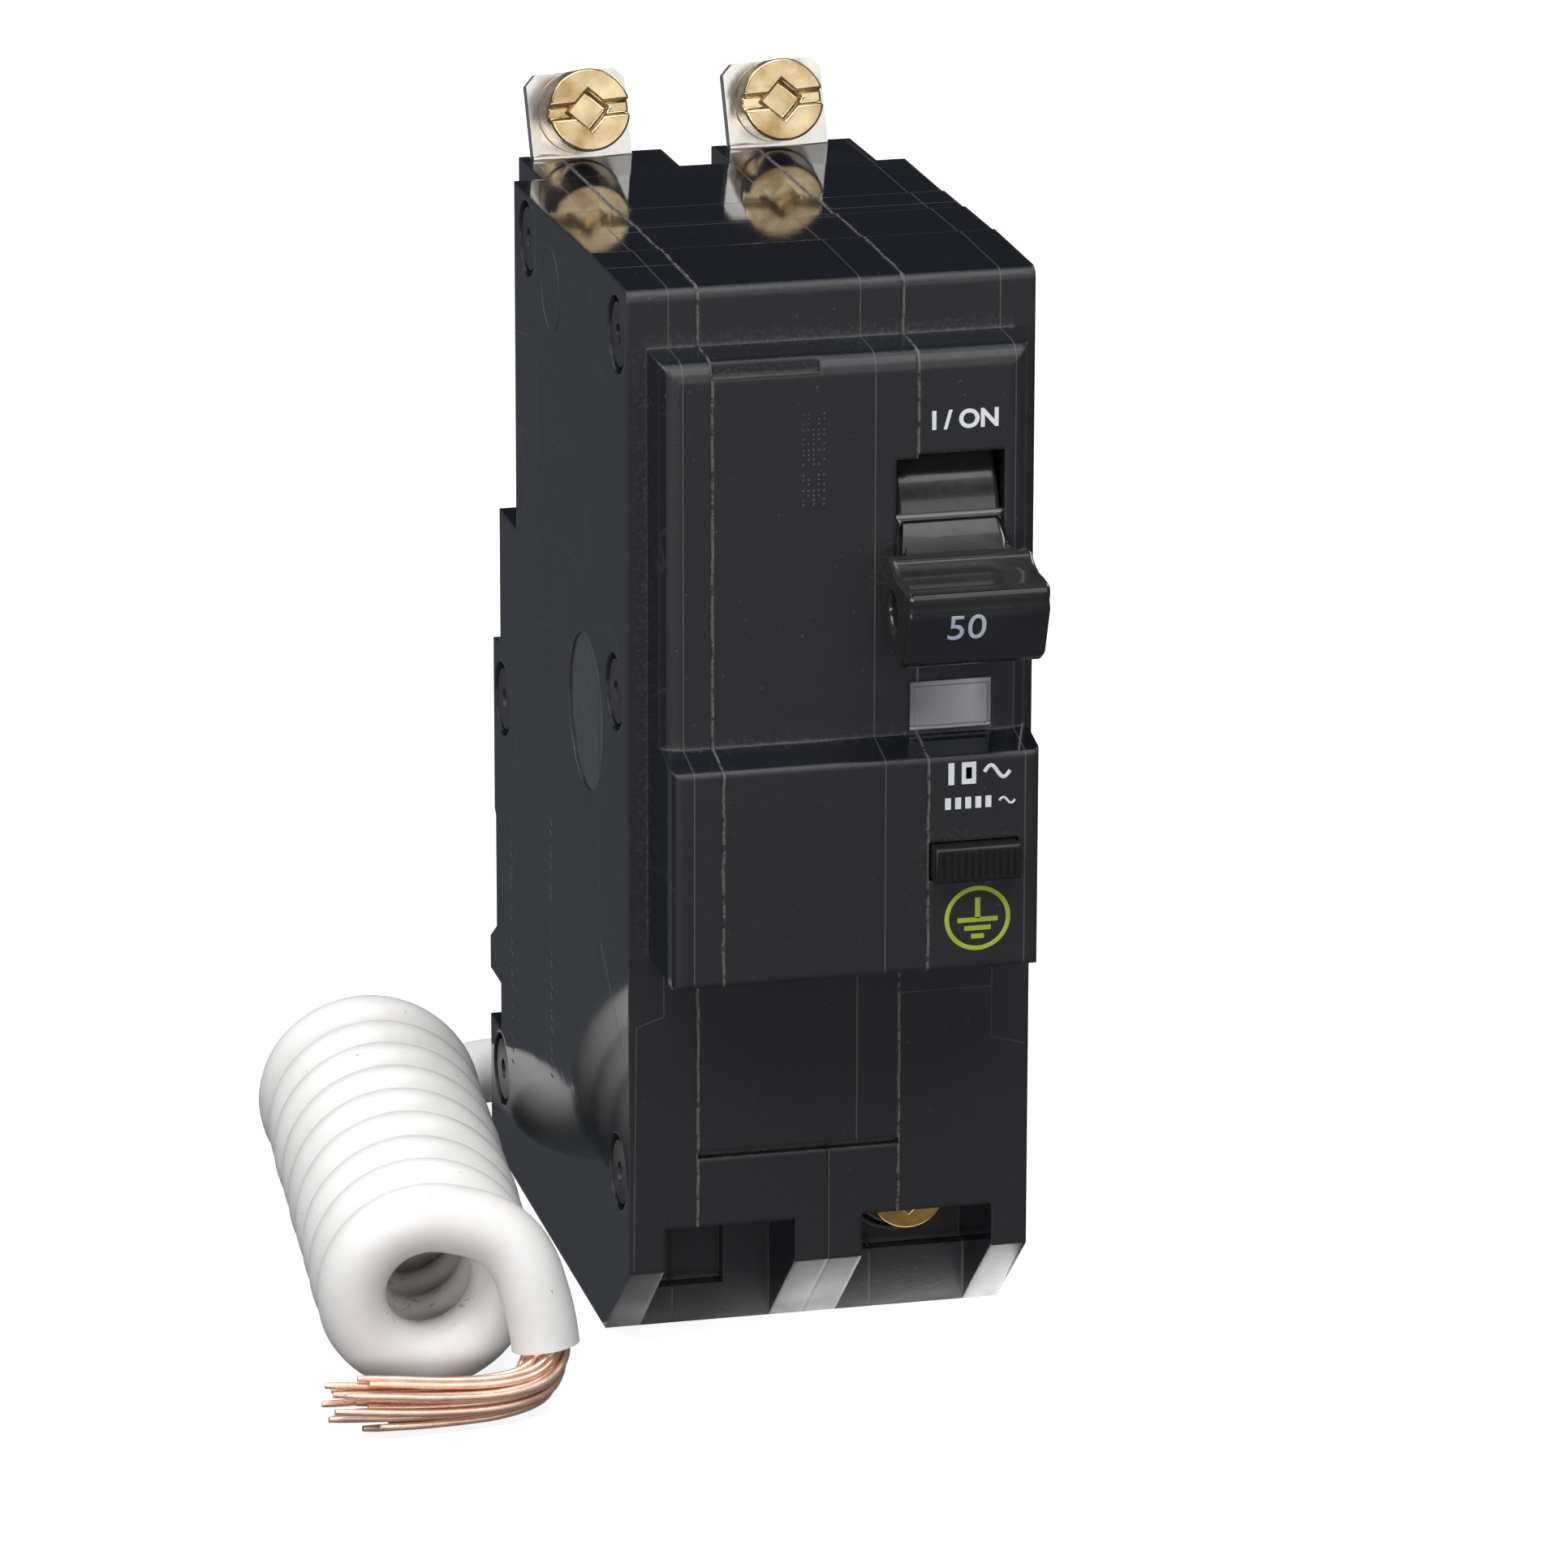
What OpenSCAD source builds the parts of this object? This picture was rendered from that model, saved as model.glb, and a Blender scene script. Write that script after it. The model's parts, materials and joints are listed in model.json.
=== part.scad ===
// Two-pole bolt-on ground-fault circuit breaker with a coiled neutral pigtail.
// Millimetres, +Z up (line end on top), front of the breaker towards -Y.
// Local y = 0 is the front face of the case; placed() moves the whole breaker so that
// the row's origin is the centre of the bottom of its box.

/* [Case] */
// Width over both poles
case_w = 38.1; // [38:0.1:38.2]
// Height of the moulded case at its front edge
case_h = 104; // [103.5:0.5:104.5]
// Wall thickness of the mouldings
wall = 1.6; // [1.5:0.1:1.8]
// Depth of the case at its foot, measured from the front face
foot_depth = 63; // [62.5:0.5:63.5]
// Height at which the front face ends in the foot chamfer
chamfer_z = 9.3; // [9:0.1:9.6]
// Depth of the foot chamfer
chamfer_y = 10.6; // [10.4:0.1:10.8]
// Position of the seam between the left cover and the centre housing
seam_left = -12.5; // [-12.6:0.1:-12.4]
// Position of the seam between the centre housing and the right cover
seam_right = 6.65; // [6.6:0.05:6.7]

/* [Escutcheon] */
// Half width of the raised escutcheon
escutcheon_w = 17.17; // [17:0.01:17.3]
// How far the escutcheon stands in front of the case
escutcheon_y = 6; // [5.9:0.1:6.1]
// Top of the escutcheon
escutcheon_top = 98.5; // [98.3:0.1:98.7]
// How far the button block stands in front of the case
block_y = 10.57; // [10.4:0.01:10.7]
// Underside of the button block
block_z0 = 40.7; // [40.5:0.1:40.9]
// Front top edge of the button block
block_z1 = 61.4; // [61.3:0.1:61.5]

/* [Handle] */
// Height of the handle's pivot
pivot_z = 80; // [79.9:0.1:80.1]
// Depth of the handle's pivot behind the front face
pivot_y = 5; // [4.9:0.1:5.1]
// Radius of the handle's barrel
barrel_r = 10.9; // [10.7:0.1:10.9]
// Centre of the handle across the breaker
handle_x = 9.65; // [9.6:0.05:9.7]
// Width of the handle's grip
grip_w = 13.3; // [13:0.1:13.4]

/* [Line terminals] */
// Width of each line tab
tab_w = 9.6; // [9.4:0.1:9.8]
// Length of the free part of each line tab
tab_h = 8.3; // [8.2:0.1:8.4]
// Thickness of the line tabs
tab_t = 1.6; // [1.5:0.1:1.6]
// Angle by which the tabs lean back
tab_lean = 16; // [15:0.5:17]
// Radius of the line screw's shank
line_screw_r = 2.4; // [2.35:0.05:2.45]
// Length of the line screw behind its tab
line_screw_reach = 6; // [5:0.5:7]

/* [Load terminals] */
// Radius of the load screw's thread
load_screw_r = 2.8; // [2.7:0.1:2.8]
// Radius of the load screw's head
load_head_r = 3.6; // [3.4:0.1:3.8]
// Travel of the pressure plate
clamp_travel = 2.7; // [2.5:0.1:2.7]

/* [Neutral pigtail] */
// Diameter of the pigtail's insulation
wire_d = 6.45; // [6.3:0.05:6.5]
// Radius of the coil at the middle of the wire
coil_r = 7.4; // [7.3:0.1:7.4]

/* [Hidden] */
$fn = 48;
eps = 0.01;
half_w = case_w / 2;
pole_x = 9.5;              // centre of each pole, left and right of the middle
inset_x = 16.3;            // half width of the narrow block behind the line end
inset_y = 49.3;            // depth at which the full-width sides end near the line end
front_wall = 1.8;
chamber_y = 24.6;          // rear of the load terminal chambers
chamber_z = 19.2;          // top of the load terminal chambers
foot_z = 20.85;            // joint between the pole feet and the centre housing
bay_z = 13.5;              // top of the openings in front of the load screws
bay_in = 3.2;              // inner edge of those openings
bay_out = 15.7;            // outer edge of those openings
gap = 0.06;                // radial running clearance of pins and shafts

tab_x = [-10.35, 8.95];    // the tabs stand a little to the left of their poles' centres
tab_y = 58.6;              // front face of the tabs at their base
tab_z = 101;               // base of the free part of the tabs
tab_hole = 4.4;            // screw hole above the tab's base, along the tab
tab_roll = 2.5;
line_thread_r = line_screw_r - 0.3;
line_head = [6, 4.2];      // how far the two line screws' heads stand off their tabs

screw_z = [14.7, 12.5];    // heights of the left and right load screws
screw_y = 7.2;             // front of the load screws' heads
head_t = 3.2;
lug_y = 13.4;
contact_y = 30;            // pivot of the contact arms
contact_z = 62;
contact_open = 16;         // opening angle of the arms with the handle off
bar_y = 35.5;              // axis of the common trip bar
bar_z = 44;
cradle_y = 12;
cradle_z = 60;
armature_y = 38.8;
armature_z = 35;
plunger_z = 49;
rivets = [[43.5, 97.5], [4.3, 98.85], [5.65, 64.5], [4.75, 17.8], [56.3, 48], [58, 9.3]];
lens = [5.95, 13.7, 62.5, 67.2];       // x from, x to, z from, z to
button = [6.9, 15.05, 49.65, 53.05];
slot = [4.6, 14.75, 71.4, 88.8];

lead_x = -8;
lead_z = 3.4;
wire_r = wire_d / 2;
coil_out = coil_r + wire_r;
coil_front = [-38.7, -6.8];            // x, y of the coil's front end
coil_rear = [-33.3, 53.6];             // x, y of the coil's rear end
coil_z = coil_out + 0.1;
lead_route = [[-8, 63, 3.4], [-8, 65, 3.4], [-8.3, 67.6, 3.4], [-9.6, 70.4, 3.4], [-12, 72.7, 3.4],
    [-15.2, 73.8, 3.4], [-18.6, 73.4, 3.4], [-21.4, 71.6, 3.4], [-23.1, 68.8, 3.4], [-23.8, 65.5, 3.4],
    [-24.1, 62, 3.4], [-24.9, 58.8, 3.4], [-27, 56, 3.4], [-30, 54.3, 3.4], [-33.4, 53.6, 3.4]];
tail_route = [[-38.5, -3.8, 18.1], [-36, -4.1, 17.7], [-33.6, -4.6, 17], [-31.6, -5.1, 15.6],
    [-30.2, -5.7, 13.5], [-29.4, -6.2, 11], [-28.8, -6.6, 8.4], [-28.5, -7, 5.8]];
strand_route = [[-28.5, -7, 5.8], [-28.9, -8, 4.3], [-30.5, -9.4, 3.1], [-34, -10.3, 2.6],
    [-39, -10.6, 2.6], [-44, -10.6, 2.8], [-50, -10.4, 3.2]];
strand_w = [2.4, 2.5, 2.5, 2.7, 3, 3.2, 3.6];
strand_t = [2.4, 2.3, 2, 1.8, 1.9, 2.2, 2.6];

// The row's box runs from the grip's front edge to the tips of the line screws.
grip_front = 17.25;
screw_tip_y = tab_y + tab_hole * sin(tab_lean) + (tab_t + line_screw_reach) * cos(tab_lean)
    + (line_thread_r - 0.6) * sin(tab_lean);
mid_y = (screw_tip_y - grip_front) / 2;

function top_of_arc(r, y, z, a0, a1, n = 4) =
    [for (i = [0:n]) let (a = a0 + (a1 - a0) * i / n) [y + r * cos(a), z + r * sin(a)]];
function top_edge() = concat(top_of_arc(1, 1, case_h - 1, 180, 90),
    [[15, case_h - 0.35], [15.2, case_h - 0.55], [26, case_h - 1.05], [26.2, case_h - 1.25],
     [34, case_h - 1.6], [34.2, case_h - 1.8], [48, case_h - 2.35]]);
function foot_rear() = [[60.5, 35.5], [59.9, 35], [59.9, 23.5],
    [foot_depth, 21.5], [foot_depth, 2], [61.5, 0]];
core_outline = concat([[chamfer_y, 0], [0, chamfer_z]], top_edge(),
    [[60.2, case_h - 3], [60.2, 67.2], [57.2, 67], [57.2, 53.5], [60.5, 53]], foot_rear());
side_outline = concat([[chamfer_y, 0], [0, chamfer_z]], top_edge(),
    [[inset_y, case_h - 2.4], [inset_y, 67.2], [57.2, 67], [57.2, 53.5], [60.5, 53]], foot_rear());
core_hollow = [[front_wall, foot_z], [front_wall, 102], [15, 101.9], [34, 100.6], [48, 100], [58.5, 99.3],
    [58.5, 68.7], [55.6, 68.7], [55.6, 51.9], [58.2, 51.9], [58.2, 24.5], [55.3, 24.5], [55.3, wall],
    [26.1, wall], [26.1, foot_z]];
side_hollow = [[front_wall, foot_z], [front_wall, 102], [15, 101.9], [34, 100.6], [47.7, 100],
    [47.7, 65.4], [55.6, 65.4], [55.6, 51.9], [58.2, 51.9], [58.2, 24.5], [55.3, 24.5], [55.3, wall],
    [26.1, wall], [26.1, foot_z]];
// The load terminal chamber, behind a sill of the given height.
function chamber_hollow(sill_z) = [[front_wall, bay_z], [front_wall, chamber_z], [chamber_y, chamber_z],
    [chamber_y, wall], [chamfer_y + wall, wall], [chamfer_y + wall, sill_z],
    [chamfer_y, sill_z], [chamfer_y, bay_z]];

module placed() {
    translate([0, -mid_y, 0]) children();
}

// A slab of a (y, z) outline between two x positions.
module x_slab(outline, x0, x1) {
    translate([x0, 0, 0]) rotate([90, 0, 90]) linear_extrude(x1 - x0) polygon(outline);
}

module x_rod(r, x0, x1, y, z) {
    translate([x0, y, z]) rotate([0, 90, 0]) cylinder(r = r, h = x1 - x0);
}

module y_rod(r, y0, y1, x, z) {
    translate([x, y0, z]) rotate([-90, 0, 0]) cylinder(r = r, h = y1 - y0);
}

module block(x0, x1, y0, y1, z0, z1) {
    translate([x0, y0, z0]) cube([x1 - x0, y1 - y0, z1 - z0]);
}

// Turns its children about an x axis through (y, z).
module turned(y, z, a) {
    translate([0, y, z]) rotate([a, 0, 0]) translate([0, -y, -z]) children();
}

// ---- Case mouldings ----

// The escutcheon and the button block in front of the case, with their rounded edges.
module escutcheon() {
    r = 1.7;
    x = escutcheon_w;
    plan = concat([[-x, 0.5]], top_of_arc(r, -x + r, -escutcheon_y + r, 180, 270),
        top_of_arc(r, x - r, -escutcheon_y + r, 270, 360), [[x, 0.5]]);
    side = concat([[0.5, block_z0], [-escutcheon_y, block_z0]],
        top_of_arc(r, -escutcheon_y + r, escutcheon_top - r, 180, 90), [[0.5, escutcheon_top]]);
    intersection() {
        linear_extrude(case_h) polygon(plan);
        x_slab(side, -half_w, half_w);
    }
    button_block();
}

module button_block() {
    r = 0.8;
    x = escutcheon_w;
    plan = concat([[-x, 0.5]], top_of_arc(r, -x + r, -block_y + r, 180, 270),
        top_of_arc(r, x - r, -block_y + r, 270, 360), [[x, 0.5]]);
    side = concat([[0.5, block_z0]], top_of_arc(0.5, -block_y + 0.5, block_z0 + 0.5, 270, 180),
        top_of_arc(0.5, -block_y + 0.5, block_z1 - 0.5, 180, 90),
        [[-escutcheon_y, block_z1 + 0.8], [0.5, block_z1 + 0.8]]);
    intersection() {
        linear_extrude(case_h) polygon(plan);
        x_slab(side, -half_w, half_w);
    }
}

module escutcheon_hollow() {
    block(-15.4, 15.4, -4.2, front_wall + eps, 62.9, 96.7);
    block(-15.4, 15.4, -8.8, front_wall + eps, block_z0 + 1.8, 59.7);
    block(-15.4, 15.4, -4.2, front_wall + eps, 59.6, 63);
}

module case_outside() {
    x_slab(core_outline, -inset_x, inset_x);
    x_slab(side_outline, -half_w, half_w);
    escutcheon();
}

// Everything that the mouldings leave free, over the whole width of the case.
module case_inside() {
    x_slab(side_hollow, -half_w + wall, -1);
    x_slab(core_hollow, -inset_x + wall, -1);
    x_slab(side_hollow, 1, half_w - wall);
    x_slab(core_hollow, 1, inset_x - wall);
    escutcheon_hollow();
    x_slab(chamber_hollow(3.7), -bay_out, -bay_in);
    x_slab(chamber_hollow(5.8), bay_in, bay_out);
}

module case_cuts() {
    for (s = [-1, 1]) {
        load_bay(s);
        wire_entry(s);
        rivet_recesses(s);
        strap_slot(s);
    }
    for (p = rivets) x_rod(1.7, -half_w, half_w, p[0], p[1]);
    block(-2.35, 2.6, 52, 61, 67.6, case_h);
    block(slot[0], seam_right, -7, -4, slot[2], slot[3] - 0.4);
    block(seam_right - eps, slot[1], -7, -4, slot[2], slot[3]);
    block(lens[0], lens[1], -7, -4, lens[2], lens[3]);
    block(button[0] - 0.17, button[1] + 0.14, -12, -8, button[2] - 0.15, button[3] + 0.15);
    block(-half_w - 1, half_w + 1, 58, foot_depth + 1, 13.4, 18.2);
    block(-6.45, 6.45, 57.3, foot_depth + 1, 12.7, 18.9);
    for (x = tab_x) block(x - tab_w / 2 - 0.1, x + tab_w / 2 + 0.1, 58.4, 61, 95, case_h);
    y_rod(3.3, 47, foot_depth + 1, lead_x, lead_z);
    block(lead_x - 3.3, lead_x + 3.3, 47, foot_depth + 1, -1, lead_z);
    block(seam_left, seam_right, -1, 1, 20.2, 20.8);
    translate([-half_w, 18, 58.7]) rotate([0, 90, 0]) cylinder(r = 7.44, h = 0.3, center = true);
}

function head_z(s) = screw_z[s < 0 ? 0 : 1];

module load_bay(s) {
    x0 = s < 0 ? -bay_out : bay_in;
    x1 = s < 0 ? -bay_in : bay_out;
    block(x0, x1, -1, chamfer_y, -1, bay_z);
}

module wire_entry(s) {
    block(s * pole_x - 3.6, s * pole_x + 3.6, 15.6, 21.8, -1, wall + eps);
}

module strap_slot(s) {
    block(s * pole_x - 2.7, s * pole_x + 2.7, 22.9, 24.3, chamber_z - eps, foot_z + eps);
}

module rivet_recesses(s) {
    for (p = rivets) x_rod(3.65, s * half_w - (s < 0 ? 1 : 1.1), s * half_w + (s < 0 ? 1.1 : 1), p[0], p[1]);
}

module rivet_bosses(x0, x1) {
    for (i = [0, 1, 2, 4]) x_rod(3.3, x0, x1, rivets[i][0], rivets[i][1]);
}

module shaft_boss(r, bore, x0, x1, y, z, bore_x0, bore_x1) {
    difference() {
        x_rod(r, x0, x1, y, z);
        x_rod(bore, bore_x0, bore_x1, y, z);
    }
}

// One moulding: the part of the case between two x and two z positions.
module moulding(x0, x1, z0, z1) {
    intersection() {
        difference() {
            union() {
                difference() {
                    case_outside();
                    case_inside();
                }
                rivet_bosses(-half_w + 1, half_w - 1);
                guard_wall();
                notch_walls();
            }
            case_cuts();
            children();
        }
        block(x0, x1, -20, 80, z0, z1);
    }
}

// A wall in front of each lug, and a guard beside the left opening, cut away around the screws' heads.
module guard_wall() {
    difference() {
        union() {
            block(-7.7, -bay_in, chamfer_y, chamfer_y + wall, 0, chamber_z + eps);
            for (s = [-1, 1]) block(s * 9.5 - 6.3, s * 9.5 + 6.3, 12.1, 13.2, 1, chamber_z + eps);
        }
        for (s = [-1, 1]) y_rod(load_head_r + 0.4, chamfer_y - 1, 14, s * pole_x, head_z(s));
    }
}

// Solid ground around the notch that parts the two poles behind the line tabs.
module notch_walls() {
    block(-3.95, 4.2, 50.4, 57.2, 66, 101);
    block(-3.95, 4.2, 57.1, 60.2, 67.6, 101);
}

module shaft_holes() {
    x_rod(2.28, -half_w + wall, half_w - wall, contact_y, contact_z);
    x_rod(1.68, -half_w + wall, half_w - wall, bar_y, bar_z);
    x_rod(1.26, -half_w + wall, half_w - wall, cradle_y, cradle_z);
    x_rod(4.5, -2, 2, 36, 11.5);
}

module left_cover() {
    color("#17181a") placed() union() {
        moulding(-half_w, seam_left, 0, case_h) shaft_holes();
        shaft_boss(3.6, 2.28, -half_w + wall, -16, contact_y, contact_z, -half_w, 0);
        shaft_boss(2.8, 1.68, -half_w + wall, -15.8, bar_y, bar_z, -half_w, 0);
    }
}

module centre_housing() {
    color("#17181a") placed() union() {
        moulding(seam_left, seam_right, foot_z, case_h) {
            shaft_holes();
            block(-12.6, -2.5, -7, -escutcheon_y + 0.9, 97, 99);
        }
        shaft_boss(3.8, 2.46, 1, 4.4, pivot_y, pivot_z, 1.5, 5);
        for (y = [12, 46]) x_rod(1.2, -2.2, -1, y, 26);
        x_rod(1.2, -2.2, -1, 26, 38.5);
    }
}

module right_cover() {
    color("#17181a") placed() union() {
        moulding(seam_right, half_w, 0, case_h) shaft_holes();
        shaft_boss(3.6, 2.28, 16, half_w - wall, contact_y, contact_z, 0, half_w);
        shaft_boss(2.8, 1.68, 15.8, half_w - wall, bar_y, bar_z, 0, half_w);
        shaft_boss(3.8, 2.46, 14.9, half_w - wall, pivot_y, pivot_z, 0, half_w);
    }
}

module pole_foot_left() {
    color("#17181a") placed() moulding(seam_left, 0, 0, foot_z) shaft_holes();
}

module pole_foot_right() {
    color("#17181a") placed() moulding(0, seam_right, 0, foot_z) shaft_holes();
}

module case_rivets() {
    color("#8d8f90") placed() for (p = rivets) difference() {
        union() {
            x_rod(1.6, -half_w + 0.3, half_w - 0.3, p[0], p[1]);
            for (s = [-1, 1]) x_rod(3, s * (half_w - 0.65) - 0.45, s * (half_w - 0.65) + 0.45, p[0], p[1]);
        }
        for (s = [-1, 1]) x_rod(1, s * (half_w - 2) - 2, s * (half_w - 2) + 2, p[0], p[1]);
    }
}

// ---- Line terminals and contacts ----

module at_tab(i) {
    translate([tab_x[i], tab_y, tab_z]) rotate([-tab_lean, -tab_roll, 0]) children();
}

module line_tab(i) {
    outer_leg = [[58.6, tab_z], [60.2, tab_z], [60.2, 95.2], [58.6, 95.2]];
    inner_leg = [[59, 95.2], [58.5, 95.2], [58.5, 84.4], [34.2, 84.4], [34.2, 94], [35.8, 94], [35.8, 86],
        [56.9, 86], [56.9, 96.8], [59, 96.8]];
    x = tab_x[i];
    difference() {
        union() {
            x_slab(outer_leg, x - tab_w / 2, x + tab_w / 2);
            x_slab(inner_leg, x - 4.3, x + 4.3);
            x_rod(tab_t / 2, x - tab_w / 2, x + tab_w / 2, tab_y + tab_t / 2, tab_z);
            at_tab(i) tab_plate();
        }
        at_tab(i) y_rod(line_screw_r + gap, -5, 5, 0, tab_hole);
    }
}

module tab_plate() {
    c = 1;
    w = tab_w / 2;
    translate([0, tab_t, 0]) rotate([90, 0, 0]) linear_extrude(tab_t)
        polygon([[-w, 0], [w, 0], [w, tab_h - c], [w - c, tab_h], [-w + c, tab_h], [-w, tab_h - c]]);
}

module line_tab_left() {
    color("#b9b7ae") placed() line_tab(0);
}

module line_tab_right() {
    color("#b9b7ae") placed() line_tab(1);
}

// Head towards the front, threaded end through the tab.
module line_screw(i) {
    h = line_head[i];
    at_tab(i) difference() {
        union() {
            y_rod(3.95, -h, -0.1, 0, tab_hole);
            y_rod(line_screw_r, -h, tab_t + 0.1, 0, tab_hole);
            y_rod(line_thread_r, 0, tab_t + line_screw_reach - 0.6, 0, tab_hole);
            translate([0, tab_t + line_screw_reach - 0.6, tab_hole]) rotate([-90, 0, 0])
                cylinder(r1 = line_thread_r, r2 = line_thread_r - 0.6, h = 0.6);
        }
        block(-5, 5, -h - 1, -h + 1.2, tab_hole - 0.65, tab_hole + 0.65);
        translate([0, -h, tab_hole]) rotate([0, 45, 0]) cube([2.8, 4, 2.8], center = true);
    }
}

module line_screw_left() {
    color("#c79a45") placed() line_screw(0);
}

module line_screw_right() {
    color("#c79a45") placed() line_screw(1);
}

module fixed_contact(s) {
    y_rod(2.4, 32.75, 34.2, s * pole_x, contact_z + 28);
}

module fixed_contact_left() {
    color("#d8d8d8") placed() fixed_contact(-1);
}

module fixed_contact_right() {
    color("#d8d8d8") placed() fixed_contact(1);
}

module arc_chute(s) {
    c = s * pole_x;
    difference() {
        union() {
            for (y = [20.5:2.8:29]) block(c - 5, c + 5, y, y + 1, 80, 98);
            for (k = [-1, 1]) block(c + k * 5.4 - 0.4, c + k * 5.4 + 0.4, 19.5, 31.5, 79, 98.5);
        }
        block(c - 2.6, c + 2.6, 19, 33, 79, 94.5);
    }
}

module arc_chute_left() {
    color("#b8a58c") placed() arc_chute(-1);
}

module arc_chute_right() {
    color("#b8a58c") placed() arc_chute(1);
}

// Moving arm, upright when closed, leaning forward with the handle off.
module contact_arm(s) {
    c = s * pole_x;
    turned(contact_y, contact_z, contact_open) difference() {
        union() {
            block(c - 1.75, c + 1.75, contact_y - 1, contact_y + 1, contact_z, contact_z + 30.5);
            x_rod(3.4, c - 1.75, c + 1.75, contact_y, contact_z);
            y_rod(2.2, contact_y, contact_y + 2.7, c, contact_z + 28);
        }
        x_rod(2.2, c - 3, c + 3, contact_y, contact_z);
    }
}

module contact_arm_left() {
    color("#b87333") placed() contact_arm(-1);
}

module contact_arm_right() {
    color("#b87333") placed() contact_arm(1);
}

module crossbar() {
    color("#6b5b4a") placed() x_rod(2.2, -17.3, 17.3, contact_y, contact_z);
}

// Close-wound torsion spring on the crossbar, beside the arm.
module contact_spring(s) {
    for (i = [0:3]) translate([s * pole_x + 2.2 + i * 0.8, contact_y, contact_z]) rotate([0, 90, 0])
        rotate_extrude() translate([2.65, 0]) circle(r = 0.42, $fn = 16);
}

module contact_spring_left() {
    color("#a0a4a8") placed() contact_spring(-1);
}

module contact_spring_right() {
    color("#a0a4a8") placed() contact_spring(1);
}

// ---- Handle ----

// Side view of the grip with the handle in its off position.
function grip_outline() = concat(
    [[-9, 80.35], [-10.4, 80.4], [-10.9, 79.95], [-11.8, 79.5], [-13, 79.25], [-14.4, 79.3]],
    [for (a = [70:-20:-10]) [-15.65 - 1.5 * cos(a - 20), 77.8 + 1.5 * sin(a)]],
    [[-grip_front, 76.8], [-15.5, 72.05], [-14.1, 71.1], [-12.9, 71.3],
     [-9.2, 73.2], [-7.2, 75], [-7.2, 77.2], [-8, 79]]);

module handle() {
    x0 = handle_x - grip_w / 2;
    x1 = handle_x + grip_w / 2;
    neck = [[-5.6, 82.6], [-9.1, 80.35], [-9.5, 76], [-8, 75], [-4, 75.2], [4, 78], [4, 84]];
    color("#101112") placed() difference() {
        union() {
            x_rod(barrel_r, handle_x - 4.9, handle_x + 4.9, pivot_y, pivot_z);
            x_rod(2.4, 2, 17.2, pivot_y, pivot_z);
            x_slab(neck, handle_x - 4.75, handle_x + 4.75);
            x_slab(grip_outline(), x0, x1);
        }
        x_rod(1.7, x0 - 1, x0 + 4, -11, 75.7);
        difference() {
            x_rod(12, handle_x - 3.6, handle_x + 3.6, pivot_y, pivot_z);
            x_rod(4.2, handle_x - 3.7, handle_x + 3.7, pivot_y, pivot_z);
            block(0, 20, pivot_y - 13, pivot_y + 2, 60, 100);
        }
    }
}

module handle_spring() {
    color("#a0a4a8") placed() for (i = [0:2]) translate([2 + i * 0.8, pivot_y, pivot_z]) rotate([0, 90, 0])
        rotate_extrude() translate([4.4, 0]) circle(r = 0.42, $fn = 16);
}

// ---- Window, flag and test button ----

module window_lens() {
    c = 0.45;
    color("#dfe3e8", 0.5) placed() union() {
        block(lens[0] + 0.05, lens[1] - 0.05, -5.9, -4.2, lens[2] + 0.05, lens[3] - 0.05);
        block(lens[0] + c, lens[1] - c, -6.2, -5.8, lens[2] + c, lens[3] - c);
        block(lens[0] - 0.5, lens[1] + 0.5, -4.2, -3.6, 63, lens[3] + 0.5);
    }
}

module trip_flag() {
    color("#d9541e") placed() union() {
        x_rod(1.2, 6.9, 12.6, 8, 57);
        block(7, 12.5, -3, 8, 56.4, 57.6);
        block(6.7, 12.9, -3.4, -2.6, 55, 60.6);
    }
}

module test_button() {
    color("#0d0d0e") placed() union() {
        block(button[0], button[1], -12.3, -8.6, button[2], button[3]);
        block(button[0] - 1, button[1] + 0.15, -8.7, -7.8, button[2] - 0.9, button[3] + 0.9);
        y_rod(1.1, -8, -4.2, 11, 51.35);
    }
}

module test_spring() {
    color("#a0a4a8") placed() for (i = [0:3]) translate([11, -6.1 + i * 0.8, 51.35]) rotate([-90, 0, 0])
        rotate_extrude() translate([1.9, 0]) circle(r = 0.42, $fn = 16);
}

module test_contact() {
    color("#c9a24a") placed() union() {
        block(8.5, 13.5, -2.9, -2.4, 42.6, 53.5);
        block(8.5, 13.5, -2.9, 6, 42.5, 43);
    }
}

// ---- Trip mechanism ----

module cradle(s) {
    c = s * pole_x;
    lever = [[cradle_y - 1.5, 61.6], [cradle_y + 2, 61.6], [34.4, 56.6], [34.4, 54.6],
        [cradle_y + 1, 58.4], [cradle_y - 1.5, 58.6]];
    difference() {
        union() {
            x_slab(lever, c - 1.5, c + 1.5);
            x_rod(2.3, c - 1.5, c + 1.5, cradle_y, cradle_z);
        }
        x_rod(1.2 + gap, c - 2, c + 2, cradle_y, cradle_z);
    }
}

module cradle_left() {
    color("#8f9296") placed() cradle(-1);
}

module cradle_right() {
    color("#8f9296") placed() cradle(1);
}

module cradle_pin() {
    color("#8f9296") placed() x_rod(1.2, -17.3, 17.3, cradle_y, cradle_z);
}

module trip_bar() {
    color("#6b5b4a") placed() union() {
        x_rod(1.6, -17.3, 17.3, bar_y, bar_z);
        for (x = [-pole_x, pole_x]) block(x - 2.2, x + 2.2, bar_y - 0.6, bar_y + 0.6, bar_z, bar_z + 11);
    }
}

module bimetal(s) {
    block(s * pole_x - 2, s * pole_x + 2, 44, 45.2, 28.2, 60);
}

module bimetal_left() {
    color("#a88a5c") placed() bimetal(-1);
}

module bimetal_right() {
    color("#a88a5c") placed() bimetal(1);
}

module magnet_yoke(s) {
    c = s * pole_x;
    difference() {
        block(c - 4.4, c + 4.4, 40.5, 46.7, 36, 50);
        block(c - 2.9, c + 2.9, 40, 45.2, 35, 51);
    }
}

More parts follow.
